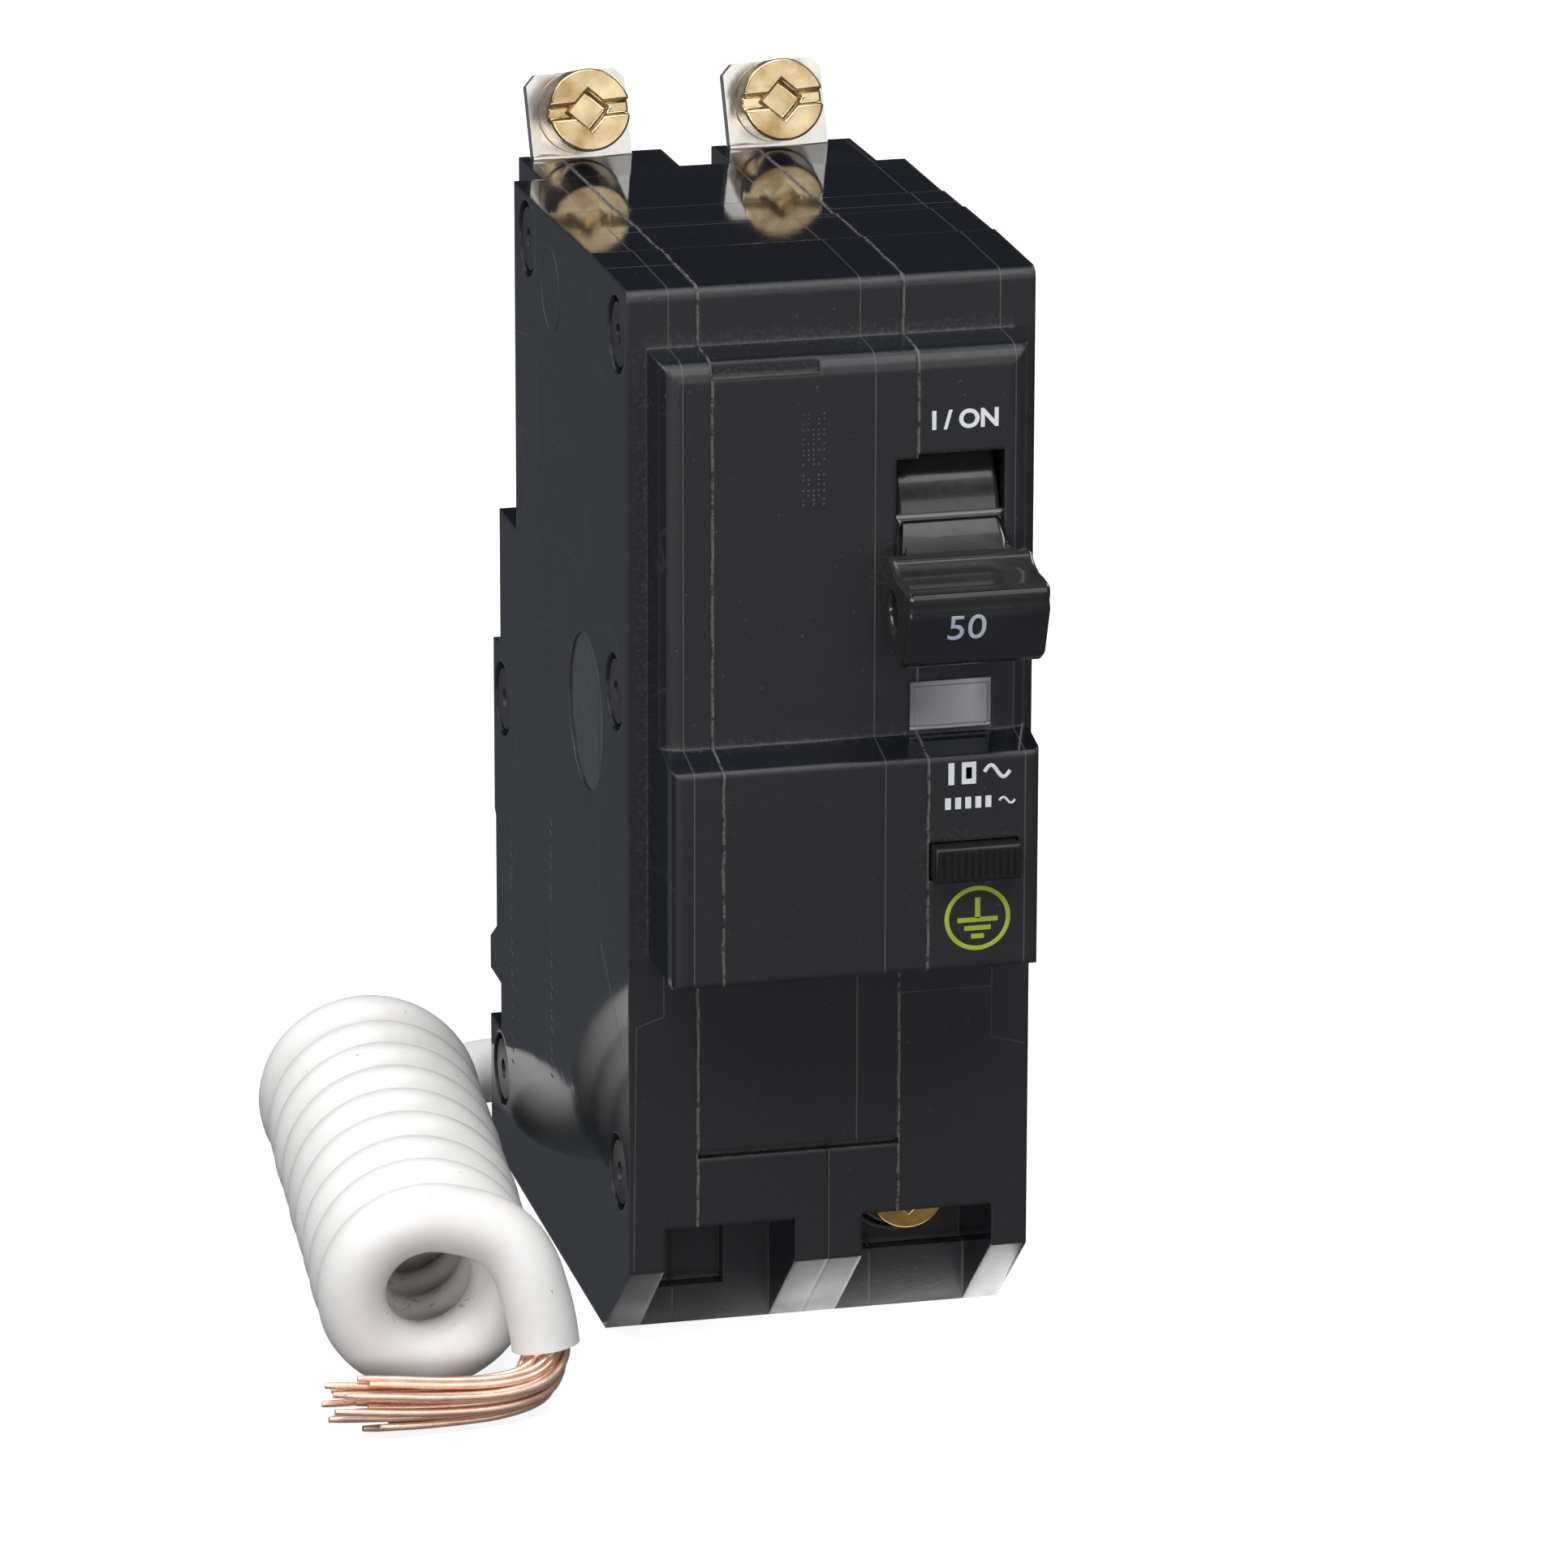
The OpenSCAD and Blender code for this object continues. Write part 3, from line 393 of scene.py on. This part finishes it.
MATERIALS = {
    "moulded_black": phenolic(),
    "rivet_steel": metal("rivet_steel", (0.10, 0.10, 0.11), (0.22, 0.22, 0.23), 0.42),
    "tinned_copper": metal("tinned_copper", (0.60, 0.585, 0.56), (0.72, 0.70, 0.67), 0.22, (1, 1, 0.15),
                           scale=600.0, spread=0.10, bump=0.25, metallic=0.85),
    "yellow_zinc": metal("yellow_zinc", (0.34, 0.22, 0.09), (0.78, 0.64, 0.40), 0.18,
                         scale=1300.0, spread=0.10, bump=0.3, metallic=0.85),
    "silver_contact": metal("silver_contact", (0.70, 0.70, 0.68), (0.85, 0.85, 0.83), 0.25),
    "arc_plate_steel": metal("arc_plate_steel", (0.30, 0.28, 0.25), (0.50, 0.46, 0.40), 0.38),
    "copper": metal("copper", (0.58, 0.28, 0.16), (0.80, 0.44, 0.28), 0.30, (1, 1, 0.2)),
    "fibre_brown": plastic("fibre_brown", (0.12, 0.075, 0.045), (0.24, 0.16, 0.10), 0.55),
    "spring_steel": metal("spring_steel", (0.42, 0.43, 0.45), (0.62, 0.63, 0.65), 0.24),
    "handle_black": plastic("handle_black", (0.018, 0.018, 0.019), (0.025, 0.025, 0.026), 0.22, bump=0.06, coat=0.35),
    "clear_lens": lens_plastic(),
    "flag_orange": plastic("flag_orange", (0.55, 0.07, 0.015), (0.75, 0.13, 0.03), 0.45),
    "button_black": plastic("button_black", (0.008, 0.008, 0.009), (0.014, 0.014, 0.015), 0.34),
    "contact_brass": metal("contact_brass", (0.55, 0.38, 0.14), (0.80, 0.60, 0.28), 0.25),
    "lever_steel": metal("lever_steel", (0.34, 0.35, 0.37), (0.52, 0.53, 0.55), 0.32, (1, 0.2, 1)),
    "bimetal": metal("bimetal", (0.42, 0.34, 0.20), (0.62, 0.52, 0.32), 0.30, (1, 1, 0.15)),
    "braid_copper": metal("braid_copper", (0.40, 0.18, 0.10), (0.82, 0.44, 0.28), 0.38, scale=2600.0, bump=0.8),
    "lug_aluminium": metal("lug_aluminium", (0.48, 0.49, 0.50), (0.70, 0.71, 0.72), 0.34, (1, 1, 0.2)),
    "load_screw_brass": metal("load_screw_brass", (0.66, 0.36, 0.09), (0.92, 0.60, 0.22), 0.26,
                              spread=0.1, bump=0.2, metallic=0.75),
    "plate_steel": metal("plate_steel", (0.40, 0.41, 0.42), (0.60, 0.61, 0.62), 0.30),
    "coil_enamel": plastic("coil_enamel", (0.30, 0.09, 0.03), (0.48, 0.17, 0.06), 0.25, 900.0, 0.4, 0.4),
    "board_green": plastic("board_green", (0.012, 0.11, 0.045), (0.02, 0.17, 0.07), 0.28, 900.0, 0.3, 0.3),
    "component_black": plastic("component_black", (0.02, 0.02, 0.02), (0.05, 0.05, 0.05), 0.42),
    "core_blue": plastic("core_blue", (0.03, 0.06, 0.22), (0.06, 0.12, 0.36), 0.38, 900.0, 0.5),
    "jumper_grey": plastic("jumper_grey", (0.50, 0.48, 0.42), (0.66, 0.64, 0.58), 0.42),
    "wire_white": insulation(),
    "strand_copper": metal("strand_copper", (0.82, 0.48, 0.34), (0.97, 0.74, 0.60), 0.28, (0.2, 1, 1),
                           scale=1500.0, spread=0.08, bump=0.2, metallic=0.65),
}
INK = plastic("white_ink", (0.74, 0.76, 0.78), (0.86, 0.87, 0.88), 0.5)
BLUE_INK = plastic("pale_blue_ink", (0.50, 0.57, 0.68), (0.64, 0.70, 0.78), 0.5)
GREEN_INK = plastic("yellow_green_ink", (0.34, 0.42, 0.03), (0.46, 0.54, 0.06), 0.5)
DUSTY = plastic("dusty_black", (0.035, 0.035, 0.036), (0.075, 0.075, 0.075), 0.5)
SLOT_OF = {part["node"]: part["material_slot"] for part in frame["record"]["subparts"]}


def dress(piece, material):
    piece.data.materials.clear()
    piece.data.materials.append(material)


for name, piece in NODES.items():
    dress(piece, MATERIALS[SLOT_OF[name]])


# ---- Mesh helpers ----

def piece_from(mesh_builder, name, body, slot):
    """Links a bmesh as a piece that rides on a body and takes its finish from a slot."""
    mesh = bpy.data.meshes.new(name)
    mesh_builder.to_mesh(mesh)
    mesh_builder.free()
    made = bpy.data.objects.new(name, mesh)
    bpy.context.scene.collection.objects.link(made)
    dress(made, MATERIALS[slot])
    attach(made, body)
    return made


def apply_modifiers(piece):
    bpy.context.view_layer.update()
    shown = piece.evaluated_get(bpy.context.evaluated_depsgraph_get())
    mesh = bpy.data.meshes.new_from_object(shown)
    piece.modifiers.clear()
    piece.data = mesh


def rounded_copy(name, width, segments=3, angle=35.0, clamp=False):
    """Stands for a CAD node: its own shape, with every sharp edge rounded by width millimetres."""
    source = NODES[name]
    work = bmesh.new()
    work.from_mesh(source.data)
    bmesh.ops.remove_doubles(work, verts=work.verts, dist=2e-6)
    bmesh.ops.dissolve_limit(work, angle_limit=math.radians(1.0), verts=work.verts, edges=work.edges)
    made = piece_from(work, name + "_shell", source["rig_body"], SLOT_OF[name])
    bevel = made.modifiers.new("Rounded edges", "BEVEL")
    bevel.width = width * MM
    bevel.segments = segments
    bevel.limit_method = "ANGLE"
    bevel.angle_limit = math.radians(angle)
    bevel.use_clamp_overlap = clamp
    made.data.shade_smooth()
    made.data.set_sharp_from_angle(angle=math.radians(75))
    even = made.modifiers.new("Even shading", "WEIGHTED_NORMAL")
    even.keep_sharp = True
    apply_modifiers(made)
    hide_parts(name)
    return made


def smooth(piece, angle=32.0):
    piece.data.shade_smooth()
    piece.data.set_sharp_from_angle(angle=math.radians(angle))


def add_box(work, low, high):
    """A box between two corners, added to a bmesh."""
    size = [b - a for a, b in zip(low, high)]
    centre = [(a + b) / 2 for a, b in zip(low, high)]
    bmesh.ops.create_cube(work, size=1.0, matrix=Matrix.Translation(centre) @ Matrix.Diagonal((*size, 1)))


def tube_mesh(work, points, radii, sides=10):
    """A round closed tube along points, with a radius at each, added to a bmesh."""
    rings = []
    up = Vector((0, 0, 1))
    for i, point in enumerate(points):
        ahead = (points[min(i + 1, len(points) - 1)] - points[max(i - 1, 0)]).normalized()
        side = ahead.cross(up)
        side = side.normalized() if side.length > 0.1 else Vector((1, 0, 0))
        over = side.cross(ahead)
        turn = [math.tau * k / sides for k in range(sides)]
        rings.append([work.verts.new(point + radii[i] * (math.cos(a) * side + math.sin(a) * over)) for a in turn])
    for one, two in zip(rings, rings[1:]):
        for k in range(sides):
            n = (k + 1) % sides
            work.faces.new((one[k], one[n], two[n], two[k]))
    work.faces.new(rings[0][::-1])
    work.faces.new(rings[-1])


def ridge(work, points, width, height, outwards):
    """A thin raised line through points (row frame) on a flat face whose outward direction is given."""
    outwards = Vector(outwards)
    rows = []
    for i, point in enumerate(points):
        ahead = (points[min(i + 1, len(points) - 1)] - points[max(i - 1, 0)]).normalized()
        side = ahead.cross(outwards).normalized() * (width * MM / 2)
        low, high = -0.02 * MM * outwards, height * MM * outwards
        corners = (side + low, side * 0.6 + high, -side * 0.6 + high, -side + low)
        rows.append([work.verts.new(point + corner) for corner in corners])
    for one, two in zip(rows, rows[1:]):
        for k in range(4):
            n = (k + 1) % 4
            work.faces.new((one[k], one[n], two[n], two[k]))
    work.faces.new(rows[0][::-1])
    work.faces.new(rows[-1])


# ---- Camera and pigtail first ----

LENS_MM = 230.7
TARGET = at(-4.37, 0, 56.28)
VIEW_BACK = Vector((-0.2196, -0.9241, 0.3128))
DISTANCE = 0.92262
ROLL = math.radians(-0.13)


def add_camera():
    data = bpy.data.cameras.new("camera")
    data.lens = LENS_MM
    data.sensor_width = 36.0
    camera = bpy.data.objects.new("camera", data)
    bpy.context.scene.collection.objects.link(camera)
    turn = VIEW_BACK.to_track_quat("Z", "Y").to_matrix().to_4x4() @ Matrix.Rotation(-ROLL, 4, "Z")
    camera.matrix_world = Matrix.Translation(TARGET + VIEW_BACK * DISTANCE) @ turn
    bpy.context.scene.camera = camera


add_camera()

WIRE_D = 6.4
COIL_R = 7.4
COIL_Z = 10.725
COIL_PITCH = 6.42
COIL_TURNS = 8.5
COIL_FRONT = (-38.55, -3.8)                # x, y of the wire's middle at the end of the last turn
COIL_LEAN = 5.2 / 60.4                     # how far the coil shifts in x per millimetre to the rear
LEAD_ROUTE = ((-8, 63, 3.4), (-8, 65, 3.4), (-8.3, 67.6, 3.4), (-9.6, 70.4, 3.4), (-12, 72.7, 3.4),
              (-15.2, 73.8, 3.4), (-18.6, 73.4, 3.4), (-21.4, 71.6, 3.4), (-23.1, 68.8, 3.4),
              (-23.8, 65.5, 3.4), (-24.1, 62, 3.4), (-24.9, 58.8, 3.4), (-27, 56, 3.4), (-30, 54.3, 3.4))
TAIL_ROUTE = ((-36, -4.1, 17.7), (-33.6, -4.6, 17), (-31.6, -5.1, 15.6), (-30.2, -5.7, 13.5),
              (-29.4, -6.2, 11), (-28.8, -6.6, 8.4), (-28.5, -7, 5.8))
STRAND_ROUTE = ((-28.5, -7, 5.8), (-28.9, -8, 4.3), (-30.5, -9.4, 3.1), (-34, -10.3, 2.6),
                (-39, -10.6, 2.6), (-44, -10.6, 2.8), (-50, -10.4, 3.2))


def coil_points(steps=24):
    """The winding from its rear bottom round to the top of its front turn."""
    total = int(COIL_TURNS * steps)
    for i in range(1, total + 1):
        phi = math.tau * i / steps
        back = COIL_PITCH * (COIL_TURNS - i / steps)
        easing = max(0.0, 1 - i / steps) ** 2
        radius = COIL_R + 0.06 * math.sin(1.7 * phi / math.tau * 2.1)
        y = COIL_FRONT[1] + back + 2.2 * easing
        x = COIL_FRONT[0] + COIL_LEAN * back - radius * math.sin(phi)
        yield x, y, COIL_Z - radius * math.cos(phi)


def pigtail():
    """The white lead, its coil and its tail, as one cord."""
    route = [*LEAD_ROUTE, *coil_points(), *TAIL_ROUTE]
    points = [at(*p) for p in route]
    length = sum((b - a).length for a, b in zip(points, points[1:]))
    curve = bpy.data.curves.new("neutral_pigtail", "CURVE")
    curve.dimensions = "3D"
    curve.bevel_depth = WIRE_D / 2 * MM
    curve.bevel_resolution = 10
    curve.resolution_u = 3
    curve.use_fill_caps = True
    line = curve.splines.new("BEZIER")
    line.bezier_points.add(len(points) - 1)
    for place, point in zip(line.bezier_points, points):
        place.co = point
        place.handle_left_type = place.handle_right_type = "AUTO"
    made = bpy.data.objects.new("neutral_pigtail", curve)
    bpy.context.scene.collection.objects.link(made)
    dress(made, MATERIALS["wire_white"])
    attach(made, "housing")
    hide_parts("neutral_lead", "neutral_coil", "neutral_tail")
    return made, points[0], length


def along(points, t):
    """A point on a smooth curve through points, t from 0 to 1."""
    place = t * (len(points) - 1)
    i = min(int(place), len(points) - 2)
    f = place - i
    p = [points[min(max(j, 0), len(points) - 1)] for j in (i - 1, i, i + 1, i + 2)]
    return 0.5 * ((2 * p[1]) + (p[2] - p[0]) * f + (2 * p[0] - 5 * p[1] + 4 * p[2] - p[3]) * f * f
                  + (3 * p[1] - p[0] - 3 * p[2] + p[3]) * f * f * f)


def strands(count=26, steps=30):
    """Bare copper wires, packed at the insulation's end and fanned out at their tips."""
    work = bmesh.new()
    middle = [at(*p) for p in STRAND_ROUTE]
    for k in range(count):
        spin = k * 2.39996
        out = math.sqrt((k + 0.5) / count)
        reach = 0.83 + 0.17 * ((k * 7) % count) / count
        drift = (random.random() - 0.5) * 0.5
        path = []
        for i in range(steps):
            t = i / (steps - 1) * reach
            centre = along(middle, t)
            ahead = (along(middle, min(1, t + 0.02)) - along(middle, max(0, t - 0.02))).normalized()
            side = Vector((-ahead.y, ahead.x, 0))
            side = side.normalized() if side.length > 0.3 else Vector((0, -1, 0))
            over = ahead.cross(side)
            fan = 2.15 + 1.5 * max(0.0, t - 0.25) ** 1.4
            lift = 2.0 - 0.35 * math.sin(math.pi * min(1, t * 1.25)) + 0.5 * t
            twist = spin + 0.9 * t + drift * t
            offset = side * (math.cos(twist) * out * fan) + over * (math.sin(twist) * out * lift)
            point = centre + offset * MM
            point.z = max(point.z, FOOT + 0.45 * MM)
            path.append(point)
        tube_mesh(work, path, [0.36 * MM] * (steps - 1) + [0.30 * MM], 8)
    made = piece_from(work, "bare_strands", "housing", "strand_copper")
    smooth(made, 50)
    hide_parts("neutral_strands")
    return made


PIGTAIL, EXIT, CORD_LENGTH = pigtail()
STRANDS = strands()


# ---- Mouldings and other CAD pieces with rounded edges ----

ROUNDING = {
    "line_screw_left": 0.28, "line_screw_right": 0.28,
    "handle": 0.5, "test_button": 0.3, "load_screw_left": 0.2, "load_screw_right": 0.2,
}
for name, width in ROUNDING.items():
    rounded_copy(name, width)
for name in ("line_tab_left", "line_tab_right"):
    rounded_copy(name, 0.15, 2, 35.0, True)


# ---- Marks: generic symbols and numbers, dots and raised lines ----

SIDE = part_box("left_cover")[0].x           # plane of the left side face
LEFT_OUT = Vector((-1, 0, 0))
FRONT_OUT = Vector((0, -1, 0))


def lettering(name, text, centre, width, up, ink, body, bold=0.012, depth=0.035):
    """A flat raised mark of a given width in millimetres, standing on a face whose up direction is given."""
    curve = bpy.data.curves.new(name, "FONT")
    curve.body = text
    curve.align_x = "CENTER"
    curve.align_y = "CENTER"
    curve.offset = bold
    curve.extrude = 0.02
    draft = bpy.data.objects.new(name, curve)
    bpy.context.scene.collection.objects.link(draft)
    bpy.context.view_layer.update()
    mesh = bpy.data.meshes.new_from_object(draft.evaluated_get(bpy.context.evaluated_depsgraph_get()))
    bpy.data.objects.remove(draft)
    xs = [v.co.x for v in mesh.vertices]
    ys = [v.co.y for v in mesh.vertices]
    scale = width * MM / (max(xs) - min(xs))
    middle = Vector(((max(xs) + min(xs)) / 2, (max(ys) + min(ys)) / 2, 0))
    up = Vector(up).normalized()
    across = Vector((1, 0, 0))
    out = across.cross(up)
    turn = Matrix((across, up, out)).transposed()
    for v in mesh.vertices:
        flat = (v.co - middle) * scale
        flat.z = depth * MM if v.co.z > 0 else -0.02 * MM
        v.co = centre + turn @ flat
    made = bpy.data.objects.new(name, mesh)
    bpy.context.scene.collection.objects.link(made)
    dress(made, ink)
    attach(made, body)
    return made


def bars(work, boxes, y, depth=0.035):
    """Flat rectangles (x0, z0, x1, z1) on a front face at depth y."""
    for x0, z0, x1, z1 in boxes:
        add_box(work, at(x0, y - depth, z0), at(x1, y + 0.02, z1))


def stroke(work, points, width, y, depth=0.035):
    """A line of constant width through (x, z) points on a front face at depth y."""
    path = [at(x, y, z) for x, z in points]
    ridge(work, path, width, depth, FRONT_OUT)


def circle(u, v, r, count):
    """Points round a closed circle, as pairs."""
    angles = [math.tau * k / count for k in range(count + 1)]
    return [(u + r * math.cos(a), v + r * math.sin(a)) for a in angles]


def finish_mark(work, name, ink, body="housing", slot="handle_black"):
    made = piece_from(work, name, body, slot)
    dress(made, ink)
    return made


def earth_emblem():
    """A round earth symbol in yellow-green."""
    work = bmesh.new()
    x, z, y = 11.35, 45.6, -10.57
    stroke(work, circle(x, z, 2.9, 40), 0.5, y)
    bars(work, [(x - 0.25, z, x + 0.25, z + 2.0)], y)
    bars(work, [(x - 1.9, z - 0.35, x + 1.9, z + 0.1), (x - 1.25, z - 1.15, x + 1.25, z - 0.7),
                (x - 0.6, z - 1.95, x + 0.6, z - 1.5)], y)
    return finish_mark(work, "earth_emblem", GREEN_INK)


def rating_marks():
    """Plain bars and an alternating-current wave where a rating would be printed."""
    work = bmesh.new()
    y = -10.57
    bars(work, [(8.5, 58.6, 9.05, 60.7), (9.75, 58.6, 11.1, 60.7)], y)
    bars(work, [(10.15, 59.1, 10.7, 60.2)], y)
    wave = [(11.9 + 2.4 * k / 16, 59.65 + 0.6 * math.sin(math.tau * k / 16)) for k in range(17)]
    stroke(work, wave, 0.42, y)
    bars(work, [(8.2 + 0.95 * k, 56.25, 8.75 + 0.95 * k, 57.35) for k in range(5)], y)
    small = [(13.3 + 1.5 * k / 12, 56.8 + 0.3 * math.sin(math.tau * k / 12)) for k in range(13)]
    stroke(work, small, 0.26, y)
    return finish_mark(work, "rating_marks", INK)


def dot_code():
    """Meaningless clusters of tiny raised dots down the blank part of the escutcheon."""
    work = bmesh.new()
    for group in range(5):
        for row in range(4):
            for column in range(5):
                if (row * 3 + column * 5 + group * 7 + row * column) % 5 < 2:
                    continue
                x = -4.05 + 0.48 * column
                z = 93.6 - group * 1.9 - row * 0.44
                matrix = Matrix.Translation(at(x, -6.0, z)) @ Matrix.Diagonal((1, 0.45, 1, 1))
                bmesh.ops.create_icosphere(work, subdivisions=1, radius=0.13 * MM, matrix=matrix)
    return finish_mark(work, "dot_code", DUSTY, slot="moulded_black")


def button_ribs():
    """Raised grip ribs on the test button."""
    work = bmesh.new()
    x0, x1, count = 7.35, 14.6, 12
    for k in range(count):
        x = x0 + (x1 - x0) * k / (count - 1)
        add_box(work, at(x - 0.17, -12.6, 50.15), at(x + 0.17, -12.2, 52.75))
    bmesh.ops.bevel(work, geom=list(work.edges), offset=0.07 * MM, segments=2, affect="EDGES")
    made = finish_mark(work, "button_ribs", MATERIALS["button_black"], "test_button", "button_black")
    smooth(made)
    return made


def side_details():
    """Shallow relief on the left side face: mould marks, a ring, a label disc and two knurled bands."""
    work = bmesh.new()

    def side_line(points, width=0.16, height=0.04):
        ridge(work, [Vector((SIDE, *at(0, y, z).yz)) for y, z in points], width, height, LEFT_OUT)

    side_line([(38.9, 71), (38.9, 88.9), (49, 87)])
    side_line(circle(33, 95.4, 4, 36))
    side_line(circle(*DISC, 7.5, 48))
    side_line([(2, 30), (12, 38), (14, 62)], 0.1, 0.02)
    for y0, z0, z1 in ((33.6, 17, 44), (52.1, 12, 38)):
        for k in range(int((z1 - z0) / 1.1)):
            z = z0 + 1.1 * k
            side_line([(y0, z), (y0 + 0.9, z + (0.55 if k % 3 else 0.0))], 0.22, 0.035)
    return finish_mark(work, "side_relief", DUSTY, slot="moulded_black")


def front_details():
    """Thin steps and witness lines on the front of the case."""
    work = bmesh.new()

    def front_line(points, width=0.16, height=0.04, y=0.0):
        ridge(work, [at(x, y, z) for x, z in points], width, height, FRONT_OUT)

    front_line([(-15.7, 38.5), (-15.7, 34.5), (-18.3, 33.6), (-18.6, 9.6)])
    front_line([(15.5, 38.5), (15.5, 30.1), (18.7, 29.2)])
    front_line([(6.8, 35.1), (15.5, 35.1)], 0.12, 0.03)
    front_line([(-12.5, 97.05), (-2.5, 97.05)], 0.25, 0.06, -5.98)
    return finish_mark(work, "front_relief", DUSTY, slot="moulded_black")


def screw_guard():
    """Moulded rings around the right load screw, seen through its opening."""
    work = bmesh.new()
    for r, depth in ((4.3, 11.2), (5.2, 11.7)):
        rings = [at(x, depth, z) for x, z in circle(9.5, 12.5, r, 48)]
        tube_mesh(work, rings, [0.3 * MM] * len(rings), 8)
    made = finish_mark(work, "screw_guard", MATERIALS["moulded_black"], slot="moulded_black")
    smooth(made, 60)
    return made


GRIP_UP = (0, -1.75, 4.75)
lettering("on_mark", "I / ON", at(11.0, -6.0, 91.9), 6.2, (0, 0, 1), INK, "housing", 0.032)
lettering("grip_number", "50", at(8.55, -16.86, 75.6), 3.5, GRIP_UP, BLUE_INK, "handle", 0.0)
earth_emblem()
rating_marks()
dot_code()
button_ribs()
side_details()
front_details()
screw_guard()


# ---- Floor and lights ----

def add_floor():
    bpy.ops.mesh.primitive_plane_add(size=8.0, location=(0, 0, FOOT))
    floor = bpy.context.object
    floor.name = "floor"
    material, tree, shader = new_material("pale_floor")
    shader.inputs["Base Color"].default_value = (0.4, 0.4, 0.4, 1)
    shader.inputs["Roughness"].default_value = 0.9
    shader.inputs["Emission Color"].default_value = (1, 1, 1, 1)
    shader.inputs["Emission Strength"].default_value = 0.85
    dress(floor, material)
    floor.visible_glossy = floor.visible_diffuse = False


def add_panel(name, azimuth, elevation, away, size, power, aim=(0, 0, 0.05)):
    """A soft area light at a compass angle (0 is in front, positive to the right), aimed at a point."""
    data = bpy.data.lights.new(name, "AREA")
    data.shape = "RECTANGLE"
    data.size, data.size_y = size
    data.energy = power
    lamp = bpy.data.objects.new(name, data)
    bpy.context.scene.collection.objects.link(lamp)
    a, e = math.radians(azimuth), math.radians(elevation)
    back = Vector((math.sin(a) * math.cos(e), -math.cos(a) * math.cos(e), math.sin(e)))
    turn = back.to_track_quat("Z", "Y").to_matrix().to_4x4()
    lamp.matrix_world = Matrix.Translation(Vector(aim) + back * away) @ turn
    lamp.visible_camera = False


def add_world(above, below):
    """Grey surroundings, darker above than below the horizon."""
    world = bpy.data.worlds.new("studio")
    world.use_nodes = True
    tree = world.node_tree
    split = row_place(tree, "Generated")
    height = maths(tree, "ADD", maths(tree, "MULTIPLY", split.outputs["Z"], 0.5), 0.5)
    link(tree, ramp(tree, height, ((0.42, below), (0.58, above))), tree.nodes["Background"].inputs["Color"])
    bpy.context.scene.world = world


def add_sun(power, spread):
    """Even light from above for the floor, slightly from the front left."""
    data = bpy.data.lights.new("sky", "SUN")
    data.energy = power
    data.angle = math.radians(spread)
    lamp = bpy.data.objects.new("sky", data)
    bpy.context.scene.collection.objects.link(lamp)
    lamp.rotation_euler = (math.radians(12), math.radians(-10), 0)


def add_card():
    """A small bright card under the front of the foot, seen only in reflections."""
    bpy.ops.mesh.primitive_plane_add(size=1.0, location=at(0, 6, 0.02))
    card = bpy.context.object
    card.name = "foot_card"
    card.scale = (0.042, 0.012, 1)
    material, tree, shader = new_material("card_glow")
    shader.inputs["Base Color"].default_value = (0, 0, 0, 1)
    shader.inputs["Emission Color"].default_value = (1, 1, 1, 1)
    split = row_place(tree)
    depth = ramp(tree, maths(tree, "ADD", split.outputs["Y"], 0.5), ((0.30, 0.10), (0.75, 1.0)))
    across = maths(tree, "ADD", split.outputs["X"], 0.5)
    side = ramp(tree, across, ((0.05, 0.10), (0.3, 0.22), (0.5, 0.45), (0.9, 0.8)))
    blotch = ramp(tree, noise(tree, 7.0, 3.0, 0.5), ((0.35, 0.45), (0.65, 1.0)))
    glow = maths(tree, "MULTIPLY", maths(tree, "MULTIPLY", depth, side), maths(tree, "MULTIPLY", blotch, 7.0))
    link(tree, glow, shader.inputs["Emission Strength"])
    dress(card, material)
    card.visible_camera = card.visible_diffuse = card.visible_shadow = card.visible_transmission = False


add_floor()
add_card()
add_sun(2.0, 60)
add_panel("front", 14, 16, 1.2, (0.8, 0.5), 1.9)
add_panel("key", -50, 50, 0.9, (0.5, 0.5), 2.2)
add_panel("over", 22, 54, 0.9, (0.5, 0.3), 1.5)
add_panel("low", -30, 5, 0.9, (0.9, 0.16), 3.0)
add_panel("rear_right", 118, 32, 1.0, (0.5, 0.5), 3.0)
add_panel("rear_left", -135, 40, 1.0, (0.4, 0.4), 1.6)
add_world((0.022, 0.022, 0.024), (0.105, 0.112, 0.125))
bpy.context.scene.view_settings.view_transform = "Standard"
